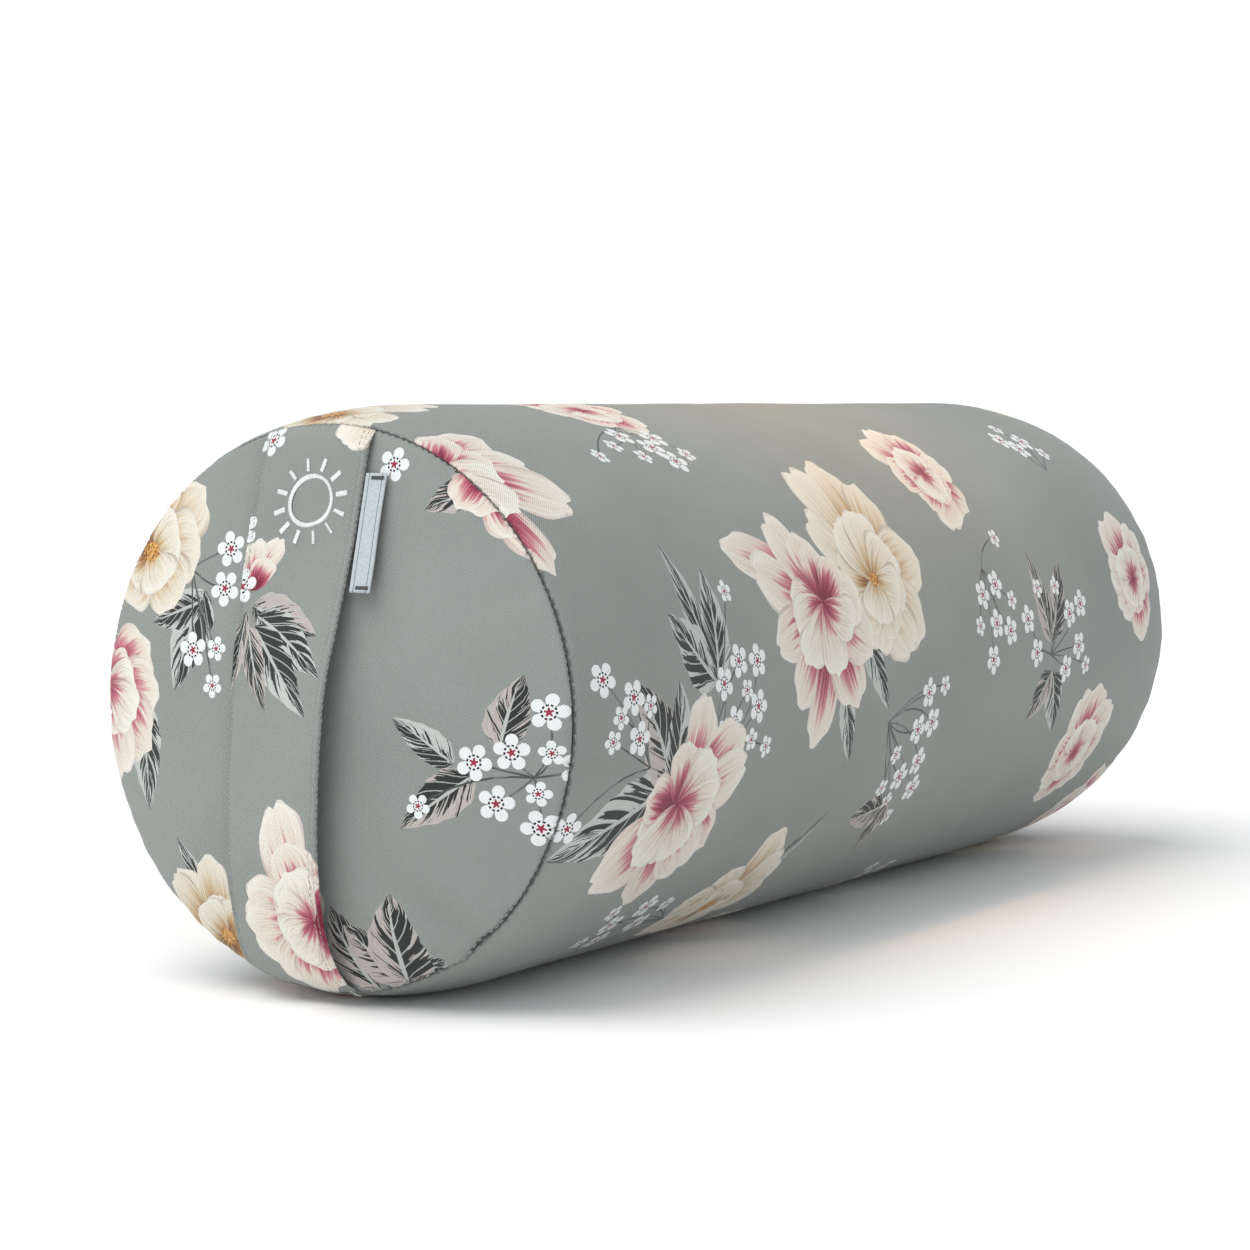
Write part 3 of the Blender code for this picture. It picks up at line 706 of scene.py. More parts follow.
spray(body_print, here, (-150, 206), [(-160, 214), (-149, 224), (-138, 217), (-144, 234)],
      [(-164, 230), (-130, 230), (-196, 229), (-176, 222)])
small_peony(body_print, here, (62, 250))
spray(body_print, here, (66, 300), [(60, 312), (76, 308), (70, 326), (84, 330), (64, 342)],
      [(90, 316), (52, 326), (92, 286)])
leaves(body_print, here, ((128, 338), (150, 300), 20), ((128, 338), (112, 296), 16),
       ((132, 352), (146, 384), 20), ((130, 352), (112, 376), 18))
spray(body_print, here, (128, 344), [(104, 326), (112, 342), (152, 326), (162, 342), (148, 352),
                                     (166, 322)], [(120, 312), (140, 312), (172, 352)])
small_peony(body_print, here, (192, 400))
small_peony(body_print, here, (238, 314))
flower(body_print, here, (273, 176), [(250, 150), (268, 142), (288, 150), (246, 176), (252, 200),
                                      (274, 208), (290, 196)], 27, GOLD, [(262, 164), (264, 188)], 6)
spray(body_print, here, (200, 250), [(195, 234), (208, 228), (186, 226)], [(216, 238), (200, 216)])
peony_bunch(body_print, here)
wide_bunch(body_print, here)
beige_bunch(body_print, here)
flower(body_print, here, (-270, 150), [(-250, 120), (-228, 136), (-226, 158), (-244, 176), (-288, 176)],
       30, GOLD, [(-252, 142), (-254, 160)], 7)
flower(body_print, here, (-296, 222), [(-262, 206), (-254, 232), (-252, 258), (-284, 282)], 26, PINK,
       [(-272, 236), (-280, 254)])

# Printed cotton twill: smooth and closely woven with a faint bloom, so it keeps a soft sheen and
# no gloss. The twill line is really 0.5 mm apart and is drawn at 1.1 mm so that it shows.
cotton, group, surface = new_finish("printed_cotton_twill", Roughness=0.78, Sheen_Weight=0.18,
                                    Sheen_Roughness=0.45)
surface.inputs["Specular IOR Level"].default_value = 0.35
place = add(group, "ShaderNodeAttribute", attribute_name="cloth").outputs["Vector"]
kind = add(group, "ShaderNodeAttribute", attribute_name="kind").outputs["Fac"]
motif = add(group, "ShaderNodeAttribute", attribute_name="motif").outputs["Vector"]
part = add(group, "ShaderNodeSeparateXYZ", {0: motif})
along, across, seed = part.outputs


flat_x, flat_y, _ = add(group, "ShaderNodeSeparateXYZ", {0: place}).outputs
slope = add(group, "ShaderNodeMath", {0: flat_y, 1: 0.8}, operation="MULTIPLY")
slope = add(group, "ShaderNodeMath", {0: flat_x, 1: slope}, operation="ADD")
twill = add(group, "ShaderNodeMath", {0: slope, 1: math.tau / 1.1}, operation="MULTIPLY")
twill = add(group, "ShaderNodeMath", {0: twill}, operation="SINE")
slub = add(group, "ShaderNodeTexNoise", {"Vector": place, "Scale": 1.4, "Detail": 3.0}).outputs[0]
cloudy = add(group, "ShaderNodeTexNoise", {"Vector": place, "Scale": 0.012, "Detail": 2.0}).outputs[0]
ground = add(group, "ShaderNodeMath", {0: slub, 1: 0.5}, operation="SUBTRACT")
ground = add(group, "ShaderNodeMath", {0: ground, 1: 0.5}, operation="MULTIPLY")
ground = add(group, "ShaderNodeMath", {0: cloudy, 1: ground}, operation="ADD")
ground = add(group, "ShaderNodeValToRGB", {0: ground})
shades(ground, (0.25, "#888d89"), (0.75, "#939894"))

# Petals: fine painted streaks that fan from the base.
half = add(group, "ShaderNodeMath", {0: across}, operation="ABSOLUTE")
offset = add(group, "ShaderNodeMath", {0: seed, 1: 37.0}, operation="MULTIPLY")
streak = add(group, "ShaderNodeMath", {0: across, 1: 7.0}, operation="MULTIPLY")
streak_by = add(group, "ShaderNodeMath", {0: along, 1: 1.1}, operation="MULTIPLY")
streak = add(group, "ShaderNodeCombineXYZ", {0: streak, 1: streak_by, 2: offset})
streak = add(group, "ShaderNodeTexNoise", {"Vector": streak, "Scale": 1.0, "Detail": 3.0})
fine = add(group, "ShaderNodeMath", {0: across, 1: 22.0}, operation="MULTIPLY")
fine_by = add(group, "ShaderNodeMath", {0: along, 1: 1.6}, operation="MULTIPLY")
fine = add(group, "ShaderNodeCombineXYZ", {0: fine, 1: fine_by, 2: offset})
fine = add(group, "ShaderNodeTexNoise", {"Vector": fine, "Scale": 1.0, "Detail": 2.0})
reach = add(group, "ShaderNodeMath", {0: streak, 1: 0.5}, operation="SUBTRACT")
reach = add(group, "ShaderNodeMath", {0: reach, 1: 0.75}, operation="MULTIPLY")
reach = add(group, "ShaderNodeMath", {0: along, 1: reach}, operation="ADD")
reach_by = add(group, "ShaderNodeMath", {0: seed, 1: 0.30}, operation="SUBTRACT")
reach_by = add(group, "ShaderNodeMath", {0: reach_by, 1: 0.44}, operation="MULTIPLY")
reach = add(group, "ShaderNodeMath", {0: reach, 1: reach_by}, operation="SUBTRACT")
reach_by = add(group, "ShaderNodeMath", {0: half, 1: half}, operation="MULTIPLY")
reach_by = add(group, "ShaderNodeMath", {0: reach_by, 1: 0.30}, operation="MULTIPLY")
reach = add(group, "ShaderNodeMath", {0: reach, 1: reach_by}, operation="ADD")
pink = add(group, "ShaderNodeValToRGB", {0: reach})
shades(pink, (0.0, "#791d33"), (0.15, "#90304a"), (0.29, "#b1576b"), (0.41, "#cb8d92"), (0.52, "#e0d3c6"),
       (1.0, "#e9e7dc"))
gold = add(group, "ShaderNodeValToRGB", {0: reach})
shades(gold, (0.0, "#7a5232"), (0.13, "#a67b4c"), (0.26, "#c2a47b"), (0.40, "#d4c3a8"), (0.56, "#dfd6c4"),
       (1.0, "#e8e4d9"))
line = add(group, "ShaderNodeMath", {0: fine, 1: 0.57}, operation="GREATER_THAN")
line_fade = add(group, "ShaderNodeMath", {0: along, 1: 0.75}, operation="MULTIPLY")
line_fade = add(group, "ShaderNodeMath", {0: 0.75, 1: line_fade}, operation="SUBTRACT")
line = add(group, "ShaderNodeMath", {0: line, 1: line_fade}, operation="MULTIPLY", use_clamp=True)
pink = add(group, "ShaderNodeMix", {0: line, 6: pink, 7: linear("#7c2a3f")}, data_type="RGBA").outputs[2]
gold_by = add(group, "ShaderNodeMath", {0: line, 1: 0.8}, operation="MULTIPLY")
gold = add(group, "ShaderNodeMix", {0: gold_by, 6: gold, 7: linear("#6d5038")}, data_type="RGBA").outputs[2]
lip = add(group, "ShaderNodeMath", {0: half, 1: 0.88}, operation="SUBTRACT")
lip = add(group, "ShaderNodeMath", {0: lip, 1: 8.0}, operation="MULTIPLY", use_clamp=True)
lip_fade = add(group, "ShaderNodeMath", {0: 1.3, 1: along}, operation="SUBTRACT")
lip = add(group, "ShaderNodeMath", {0: lip, 1: lip_fade}, operation="MULTIPLY", use_clamp=True)
pink_by = add(group, "ShaderNodeMath", {0: lip, 1: 0.5}, operation="MULTIPLY")
pink = add(group, "ShaderNodeMix", {0: pink_by, 6: pink, 7: linear("#93545c")}, data_type="RGBA").outputs[2]
gold_by = add(group, "ShaderNodeMath", {0: lip, 1: 0.70}, operation="MULTIPLY")
gold = add(group, "ShaderNodeMix", {0: gold_by, 6: gold, 7: linear("#806248")}, data_type="RGBA").outputs[2]

# Leaves: charcoal brushed between pale veins, fading to grey or a dusty pink at the edge.
vein_at = add(group, "ShaderNodeMath", {0: along, 1: 6.5}, operation="MULTIPLY")
vein_slant = add(group, "ShaderNodeMath", {0: half, 1: 2.2}, operation="MULTIPLY")
vein_at = add(group, "ShaderNodeMath", {0: vein_at, 1: vein_slant}, operation="SUBTRACT")
vein = add(group, "ShaderNodeMath", {0: vein_at}, operation="FRACT")
vein = add(group, "ShaderNodeMath", {0: vein, 1: 0.5}, operation="SUBTRACT")
vein = add(group, "ShaderNodeMath", {0: vein}, operation="ABSOLUTE")
vein = add(group, "ShaderNodeMath", {0: vein, 1: 0.43}, operation="GREATER_THAN")
rib = add(group, "ShaderNodeMath", {0: along, 1: 0.06}, operation="MULTIPLY")
rib = add(group, "ShaderNodeMath", {0: 0.10, 1: rib}, operation="SUBTRACT")
rib = add(group, "ShaderNodeMath", {0: half, 1: rib}, operation="LESS_THAN")
brush = add(group, "ShaderNodeMath", {0: vein_at, 1: 2.6}, operation="MULTIPLY")
brush_by = add(group, "ShaderNodeMath", {0: across, 1: 0.7}, operation="MULTIPLY")
brush = add(group, "ShaderNodeCombineXYZ", {0: brush, 1: brush_by, 2: offset})
brush = add(group, "ShaderNodeTexNoise", {"Vector": brush, "Scale": 1.0, "Detail": 3.0})
side_shade = add(group, "ShaderNodeMath", {0: across}, operation="SIGN")
side_of_seed = add(group, "ShaderNodeMath", {0: seed, 1: 0.5}, operation="SUBTRACT")
side_shade = add(group, "ShaderNodeMath", {0: side_shade, 1: side_of_seed}, operation="MULTIPLY")
dark = add(group, "ShaderNodeMath", {0: side_shade, 1: 0.22}, operation="MULTIPLY")
dark = add(group, "ShaderNodeMath", {0: brush, 1: dark}, operation="ADD")
edge_fade = add(group, "ShaderNodeMath", {0: half, 1: 0.22}, operation="MULTIPLY")
dark = add(group, "ShaderNodeMath", {0: dark, 1: edge_fade}, operation="SUBTRACT")
dark = add(group, "ShaderNodeMath", {0: dark, 1: 0.35}, operation="GREATER_THAN")
pale_by = add(group, "ShaderNodeMath", {0: seed, 1: 0.62}, operation="GREATER_THAN")
pale = add(group, "ShaderNodeMix", {0: pale_by, 6: linear("#b4b9b6"), 7: linear("#ad9c98")},
           data_type="RGBA").outputs[2]
pale_by = add(group, "ShaderNodeMath", {0: streak, 1: 0.6}, operation="MULTIPLY")
pale = add(group, "ShaderNodeMix", {0: pale_by, 6: pale, 7: linear("#d3d5d0")}, data_type="RGBA").outputs[2]
leaf_colour = add(group, "ShaderNodeMix", {0: dark, 6: pale, 7: linear("#2b2e2d")},
                  data_type="RGBA").outputs[2]
leaf_lines = add(group, "ShaderNodeMath", {0: vein, 1: 0.75}, operation="MULTIPLY")
leaf_lines = add(group, "ShaderNodeMath", {0: leaf_lines, 1: rib}, operation="MAXIMUM")
leaf_colour = add(group, "ShaderNodeMix", {0: leaf_lines, 6: leaf_colour, 7: linear("#b9bdb9")},
                  data_type="RGBA").outputs[2]

# Blossoms: white, with a ring of dark dashes and a crimson star.
out = add(group, "ShaderNodeMath", {0: along, 1: along}, operation="MULTIPLY")
out_by = add(group, "ShaderNodeMath", {0: across, 1: across}, operation="MULTIPLY")
out = add(group, "ShaderNodeMath", {0: out, 1: out_by}, operation="ADD")
out = add(group, "ShaderNodeMath", {0: out}, operation="SQRT")
angle = add(group, "ShaderNodeMath", {0: across, 1: along}, operation="ARCTAN2")
dash = add(group, "ShaderNodeMath", {0: angle, 1: 10.0}, operation="MULTIPLY")
dash = add(group, "ShaderNodeMath", {0: dash}, operation="SINE")
dash = add(group, "ShaderNodeMath", {0: dash, 1: -0.35}, operation="GREATER_THAN")
ring = add(group, "ShaderNodeMath", {0: out, 1: 0.37}, operation="SUBTRACT")
ring = add(group, "ShaderNodeMath", {0: ring}, operation="ABSOLUTE")
ring = add(group, "ShaderNodeMath", {0: ring, 1: 0.055}, operation="LESS_THAN")
star = add(group, "ShaderNodeMath", {0: angle, 1: 5.0}, operation="MULTIPLY")
star = add(group, "ShaderNodeMath", {0: star}, operation="SINE")
star = add(group, "ShaderNodeMath", {0: star, 1: 0.07}, operation="MULTIPLY")
star = add(group, "ShaderNodeMath", {0: out, 1: star}, operation="ADD")
star = add(group, "ShaderNodeMath", {0: star, 1: 0.19}, operation="LESS_THAN")
slit = add(group, "ShaderNodeMath", {0: angle, 1: 5.0}, operation="MULTIPLY")
slit = add(group, "ShaderNodeMath", {0: slit}, operation="COSINE")
slit = add(group, "ShaderNodeMath", {0: slit, 1: -0.93}, operation="LESS_THAN")
slit_by = add(group, "ShaderNodeMath", {0: out, 1: 0.30}, operation="GREATER_THAN")
slit = add(group, "ShaderNodeMath", {0: slit, 1: slit_by}, operation="MULTIPLY")
white_by = add(group, "ShaderNodeMath", {0: slit, 1: 0.5}, operation="MULTIPLY")
white = add(group, "ShaderNodeMix", {0: white_by, 6: linear("#e8ebec"), 7: linear("#8f9795")},
            data_type="RGBA").outputs[2]
white_by = add(group, "ShaderNodeMath", {0: dash, 1: ring}, operation="MULTIPLY")
white = add(group, "ShaderNodeMix", {0: white_by, 6: white, 7: linear("#2a2629")},
            data_type="RGBA").outputs[2]
white = add(group, "ShaderNodeMix", {0: star, 6: white, 7: linear("#9b3148")}, data_type="RGBA").outputs[2]

# Stems and the stamens of open flowers.
twig_by = add(group, "ShaderNodeMath", {0: fine, 1: 0.5}, operation="GREATER_THAN")
twig = add(group, "ShaderNodeMix", {0: twig_by, 6: linear("#4a4e4d"), 7: linear("#6f7573")},
           data_type="RGBA").outputs[2]
speck = add(group, "ShaderNodeMath", {0: along, 1: 5.0}, operation="MULTIPLY")
speck_by = add(group, "ShaderNodeMath", {0: across, 1: 5.0}, operation="MULTIPLY")
speck = add(group, "ShaderNodeCombineXYZ", {0: speck, 1: speck_by, 2: offset})
speck = add(group, "ShaderNodeTexNoise", {"Vector": speck, "Scale": 1.0, "Detail": 2.0})
stamens = add(group, "ShaderNodeValToRGB", {0: speck})
shades(stamens, (0.30, "#3f3330"), (0.44, "#b97b33"), (0.60, "#d9a657"), (0.75, "#ead6a8"))

colour = ground
for number, layer in ((PINK, pink), (GOLD, gold), (LEAF, leaf_colour), (BLOSSOM, white), (STEM, twig),
                      (HEART, stamens), (REVERSE, linear("#a4a8a4"))):
    mine = add(group, "ShaderNodeMath", {0: kind, 1: float(number), 2: 0.4}, operation="COMPARE").outputs[0]
    colour = add(group, "ShaderNodeMix", {0: mine, 6: colour, 7: layer}, data_type="RGBA").outputs[2]
thread_tone = add(group, "ShaderNodeMath", {0: twill, 1: 0.035}, operation="MULTIPLY")
thread_tone = add(group, "ShaderNodeMath", {0: 0.98, 1: thread_tone}, operation="ADD")
thread_tone = add(group, "ShaderNodeCombineColor", {0: thread_tone, 1: thread_tone, 2: thread_tone})
colour = add(group, "ShaderNodeMix", {0: 1.0, 6: colour, 7: thread_tone}, data_type="RGBA",
             blend_type="MULTIPLY")
colour = colour.outputs[2]
group.links.new(colour, surface.inputs["Base Color"])
relief = add(group, "ShaderNodeMath", {0: twill, 1: 0.5}, operation="MULTIPLY")
relief_by = add(group, "ShaderNodeMath", {0: slub, 1: 0.9}, operation="MULTIPLY")
relief = add(group, "ShaderNodeMath", {0: relief, 1: relief_by}, operation="ADD")
bump = add(group, "ShaderNodeBump", {"Height": relief, "Strength": 0.7, "Distance": 0.00018})
soft = add(group, "ShaderNodeTexNoise", {"Vector": place, "Scale": 0.09, "Detail": 2.0}).outputs[0]
wavy = add(group, "ShaderNodeBump", {"Height": soft, "Strength": 0.25, "Distance": 0.0012, "Normal": bump})
group.links.new(wavy.outputs[0], surface.inputs["Normal"])

SLOT_HALF = 4.6          # half the width of the opening that shows the zip, mm
body_low, body_high = SLOT_HALF, ROUND - SLOT_HALF


def body_wrap(flat):
    """Beyond the ends of the zip the slot closes to a sewn seam."""
    out = flat.copy()
    closed = eased((np.abs(flat[:, 0]) - HALF_ZIP * 1000) / 4.0)
    for edge, way in ((body_low, 1), (body_high, -1)):
        gap = (flat[:, 1] - edge) * way
        near = np.clip(1 - gap / 22.0, 0, 1)
        near = near * near * (3 - 2 * near)
        out[:, 1] -= way * closed * near * (SLOT_HALF - 0.15)
    return out


def body_outer(flat):
    to_seam = FLAT_HALF - np.abs(flat[:, 0])
    to_slot = np.minimum(flat[:, 1] - body_low, body_high - flat[:, 1])
    depth = np.maximum(turned_in(to_seam, 2.0, 1.3), turned_in(to_slot, 1.6, 0.9))
    return on_body(body_wrap(flat), depth / 1000)


def body_lining(flat):
    to_seam = FLAT_HALF - np.abs(flat[:, 0])
    return on_body(body_wrap(flat), np.where(to_seam < 1.5, 1.6, 1.35) / 1000)


corners = bordered(-FLAT_HALF, FLAT_HALF, body_low, body_high, 4.0)
rows_u = edge_rows(-FLAT_HALF, FLAT_HALF, 5.0, (0.15, 0.5, 1.1, 2.0, 4.0))
rows_v = edge_rows(body_low, body_high, 5.0, (0.15, 0.5, 1.0, 1.6, 3.5))
inner_u = edge_rows(-FLAT_HALF, FLAT_HALF, 11.0, (1.2, 3.0))
inner_v = edge_rows(body_low, body_high, 9.0, (1.2, 3.0))
cover_body = panel("printed_tube", corners, net_of(rows_u, rows_v), body_print, body_outer,
                   net_of(inner_u, inner_v), body_lining, cotton,
                   ((0.0, 0.0, 0.80, 1.0), (0.81, 0.0, 1.0, 1.0)))
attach(cover_body, "bolster")
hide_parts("cover_body")

front_print = []
leaves(front_print, here, ((66, 16), (42, -2), 13), ((84, 9), (88, -18), 18), ((74, 20), (44, 39), 18))
spray(front_print, here, (96, 20), [(74, 15), (88, 11), (82, 30), (101, -4), (97, 39), (111, 17)],
      [(102, 11), (97, 26), (52, 32)])
leaves(front_print, here, ((24, 104), (8, 74), 22), ((37, 100), (54, 88), 19), ((37, 100), (17, 79), 21),
       ((37, 101), (40, 66), 26))
leaves(front_print, here, ((72, -90), (44, -108), 16), ((72, -90), (80, -110), 15),
       ((72, -90), (49, -74), 17))
flower(front_print, here, (70, -94), [(94, -104), (102, -84), (98, -56), (84, -66)], 22, PINK, [(84, -82)])
blossom(front_print, (32, -93), 6.5)
leaves(front_print, here, ((-50, -44), (-66, -6), 22), ((-84, 0), (-76, 42), 22),
       ((-50, -40), (-78, -30), 16))
spray(front_print, here, (-58, -52), [(-39, -60), (-40, -45), (-54, -21)], [(-42, -22), (-43, -8)])
flower(front_print, here, (-84, -58), [(-60, -84), (-82, -92), (-56, -62), (-64, -40), (-98, -38)], 30,
       GOLD, [(-68, -66), (-76, -44)], 6)
flower(front_print, here, (-108, -4), [(-84, -26), (-74, -8), (-76, 14), (-92, 28)], 28, PINK,
       [(-88, -8), (-88, 8)])
leaves(front_print, here, ((-46, 84), (-60, 50), 12))
flower(front_print, here, (-44, 90), [(-64, 64), (-46, 58), (-74, 78), (-26, 74)], 22, GOLD, [(-52, 76)], 5)
flower(front_print, here, (-12, 100), [(-26, 66), (2, 60), (-30, 88)], 24, PINK)
rear_print = []
peony_bunch(rear_print, shifted(200, -350))
small_peony(rear_print, here, (54, -50))
spray(rear_print, here, (34, 2), [(52, 0), (46, 14), (62, 12)], [(66, -4), (54, 26)])
leaves(rear_print, here, ((-20, -62), (-48, -82), 20), ((-20, -62), (-22, -96), 18))

for side, end, motifs in ((-1, "front", front_print), (1, "rear", rear_print)):
    lie = on_end(side)
    reach = SEAM_RADIUS * 1000

    def end_outer(flat):
        gap = reach - np.hypot(flat[:, 0], flat[:, 1])
        return lie(flat, np.zeros(len(flat)), turned_in(gap, 2.0, 1.3) / 1000)

    def end_lining(flat):
        gap = reach - np.hypot(flat[:, 0], flat[:, 1])
        return lie(flat, np.full(len(flat), 0.0012), 0.0013 * np.exp(-gap / 3.0))

    inside = [m for m in motifs if min(math.hypot(*p) for p in m["outline"]) < reach - 1]
    piece = panel(f"printed_disc_{end}", circle(reach, 216),
                  round_net(reach, 4.0, (0.15, 0.5, 1.1, 2.0, 4.0)), inside,
                  end_outer, round_net(reach, 5.0, (1.2, 3.0)), end_lining, cotton,
                  ((0.0, 0.25, 0.75, 1.0), (0.76, 0.0, 1.0, 0.24)))
    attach(piece, "bolster")
    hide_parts(f"cover_end_{end}")

# ---------------------------------------------------------------------------------------------
# Zip. A nylon coil zip in two woven tapes, sewn behind the edges of the slot with a row of
# stitches along each side. Metal stops close the chain, and the slider and pull are die cast.
SLOT_ROW = SLOT_HALF + 2.2
COIL_PITCH = 0.0012       # one turn of the coil
COIL_HALF = 0.2259
COIL_MIDDLE = (0.1132, 0.0016)


def at_zip(x, out, up):
    """A point by its place along the zip, its distance from the axis and its height along it."""
    c, s = math.cos(ZIP_ANGLE), math.sin(ZIP_ANGLE)
    return Vector((x, out * c - up * s, AXIS_Z + out * s + up * c))


def tree_with(name, *sockets):
    """A Geometry Nodes tree with a mesh or curve input and named inputs for its sizes."""
    tree = bpy.data.node_groups.new(name, "GeometryNodeTree")
    tree.interface.new_socket(name="Geometry", in_out="OUTPUT", socket_type="NodeSocketGeometry")
    tree.interface.new_socket(name="Geometry", in_out="INPUT", socket_type="NodeSocketGeometry")
    for label, kind_of, value in sockets:
        made = tree.interface.new_socket(name=label, in_out="INPUT", socket_type=kind_of)
        if value is not None:
            made.default_value = value
    return tree, add(tree, "NodeGroupInput").outputs


def grown(name, start, tree, **sizes):
    """Runs a tree on a mesh with the sizes given, and keeps the result as a plain mesh."""
    seedling = bpy.data.objects.new(name + "_path", start)
    scene.collection.objects.link(seedling)
    run = seedling.modifiers.new("Grow", "NODES")
    run.node_group = tree
    for socket in tree.interface.items_tree:
        if socket.in_out == "INPUT" and socket.name.replace(" ", "_") in sizes:
            run[socket.identifier] = sizes[socket.name.replace(" ", "_")]
    done = seedling.evaluated_get(bpy.context.evaluated_depsgraph_get())
    mesh = bpy.data.meshes.new_from_object(done)
    mesh.name = name
    seedling.modifiers.clear()
    bpy.data.objects.remove(seedling)
    piece = bpy.data.objects.new(name, mesh)
    scene.collection.objects.link(piece)
    return piece


def stands_for(piece, body, slot, *nodes):
    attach(piece, body)
    if nodes:
        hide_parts(*nodes)


# Nylon monofilament: extruded and wound into a coil, so it is smooth and a little glossy.
nylon, group, surface = new_finish("nylon_coil", Roughness=0.38, IOR=1.53)
where = add(group, "ShaderNodeTexCoord").outputs["Object"]
shade = add(group, "ShaderNodeTexNoise", {"Vector": where, "Scale": 900.0, "Detail": 2.0})
tone = add(group, "ShaderNodeValToRGB", {0: shade})
shades(tone, (0.0, "#5d6361"), (1.0, "#7d8381"))
group.links.new(tone.outputs[0], surface.inputs["Base Color"])

coil_tree, given = tree_with("zip_coil", ("Half Length", "NodeSocketFloat", 0.2),
                             ("Pitch", "NodeSocketFloat", 0.0012),
                             ("Wire Radius", "NodeSocketFloat", 0.00025),
                             ("Loop Width", "NodeSocketFloat", 0.00065),
                             ("Loop Height", "NodeSocketFloat", 0.00055),
                             ("Finish", "NodeSocketMaterial", None))
back = add(coil_tree, "ShaderNodeMath", {0: given["Half Length"], 1: -1.0}, operation="MULTIPLY")
low = add(coil_tree, "ShaderNodeCombineXYZ", {0: back})
high = add(coil_tree, "ShaderNodeCombineXYZ", {0: given["Half Length"]})
run = add(coil_tree, "GeometryNodeCurvePrimitiveLine", {"Start": low, "End": high})
beads = add(coil_tree, "GeometryNodeResampleCurve", {"Curve": run, "Length": given["Pitch"]}, mode="LENGTH")
loop = add(coil_tree, "GeometryNodeCurvePrimitiveCircle", {"Resolution": 8, "Radius": 1.0})
wide = add(coil_tree, "ShaderNodeCombineXYZ", {0: given["Loop Width"], 1: given["Loop Height"], 2: 1.0})
loop = add(coil_tree, "GeometryNodeTransform", {"Geometry": loop, "Scale": wide})
wire = add(coil_tree, "GeometryNodeCurvePrimitiveCircle", {"Resolution": 4, "Radius": given["Wire Radius"]})
turn_mesh = add(coil_tree, "GeometryNodeCurveToMesh", {"Curve": loop, "Profile Curve": wire})
stood = add(coil_tree, "GeometryNodeTransform", {"Geometry": turn_mesh,
                                                 "Rotation": (0.0, math.radians(90), math.radians(14))})
turns = add(coil_tree, "GeometryNodeInstanceOnPoints", {"Points": beads, "Instance": stood})
core = add(coil_tree, "GeometryNodeCurvePrimitiveCircle", {"Resolution": 6, "Radius": 0.00028})
core = add(coil_tree, "GeometryNodeCurveToMesh", {"Curve": run, "Profile Curve": core, "Fill Caps": True})
both = add(coil_tree, "GeometryNodeJoinGeometry")
coil_tree.links.new(turns.outputs[0], both.inputs[0])
coil_tree.links.new(core.outputs[0], both.inputs[0])
real = add(coil_tree, "GeometryNodeRealizeInstances", {0: both})
smooth = add(coil_tree, "GeometryNodeSetShadeSmooth", {"Geometry": real})
done = add(coil_tree, "GeometryNodeSetMaterial", {"Geometry": smooth, "Material": given["Finish"]})
add(coil_tree, "NodeGroupOutput", {0: done})

for name, way in (("upper", 1), ("lower", -1)):
    coil = grown(f"coil_{name}", plain_mesh("coil_start", [(0, 0, 0)], []), coil_tree,
                 Half_Length=COIL_HALF - 0.0004,
                 Pitch=COIL_PITCH, Wire_Radius=0.00024, Loop_Width=0.00054, Loop_Height=0.00064,
                 Finish=nylon)
    coil.data.transform(Matrix.Translation((0, 0, AXIS_Z)) @ Matrix.Rotation(ZIP_ANGLE, 4, "X")
                        @ Matrix.Translation((0, COIL_MIDDLE[0], way * COIL_MIDDLE[1])))
    stands_for(coil, "bolster", "zip_coil", f"zip_coil_{name}")

# Polyester tape: woven in a herringbone, matt and grey like the cloth. The rib is drawn 1 mm apart.
tape, group, surface = new_finish("woven_polyester_tape", Roughness=0.82, Sheen_Weight=0.15)
where = add(group, "ShaderNodeTexCoord").outputs["Object"]
where = add(group, "ShaderNodeSeparateXYZ", {0: where})
zigzag = add(group, "ShaderNodeMath", {0: where.outputs[2], 1: 420.0}, operation="MULTIPLY")
zigzag = add(group, "ShaderNodeMath", {0: zigzag, 1: 1.0}, operation="PINGPONG")
rib = add(group, "ShaderNodeMath", {0: where.outputs[0], 1: math.tau / 0.001}, operation="MULTIPLY")
rib = add(group, "ShaderNodeMath", {0: rib, 1: zigzag}, operation="ADD")
rib = add(group, "ShaderNodeMath", {0: rib}, operation="SINE")
tone = add(group, "ShaderNodeValToRGB", {0: rib})
shades(tone, (0.0, "#636966"), (1.0, "#7b817e"))
group.links.new(tone.outputs[0], surface.inputs["Base Color"])
bump = add(group, "ShaderNodeBump", {"Height": rib, "Strength": 0.4, "Distance": 0.0001})
group.links.new(bump.outputs[0], surface.inputs["Normal"])

# Zinc alloy: die cast and nickel plated, a soft bright metal with faint polishing marks and
# slightly rougher where it is handled.
nickel, group, surface = new_finish("nickel_plated_zinc", Metallic=1.0)
where = add(group, "ShaderNodeTexCoord").outputs["Object"]
marks = add(group, "ShaderNodeMapping", {"Vector": where, "Scale": (300.0, 2500.0, 2500.0)})
marks = add(group, "ShaderNodeTexNoise", {"Vector": marks, "Scale": 1.0, "Detail": 4.0})
worn = add(group, "ShaderNodeMapRange", {"Value": marks, "To Min": 0.18, "To Max": 0.42})
group.links.new(worn.outputs[0], surface.inputs["Roughness"])
tone = add(group, "ShaderNodeValToRGB", {0: marks})
shades(tone, (0.0, "#b3b1ac"), (1.0, "#d3d1cc"))
group.links.new(tone.outputs[0], surface.inputs["Base Color"])
bump = add(group, "ShaderNodeBump", {"Height": marks, "Strength": 0.15, "Distance": 0.00005})
group.links.new(bump.outputs[0], surface.inputs["Normal"])

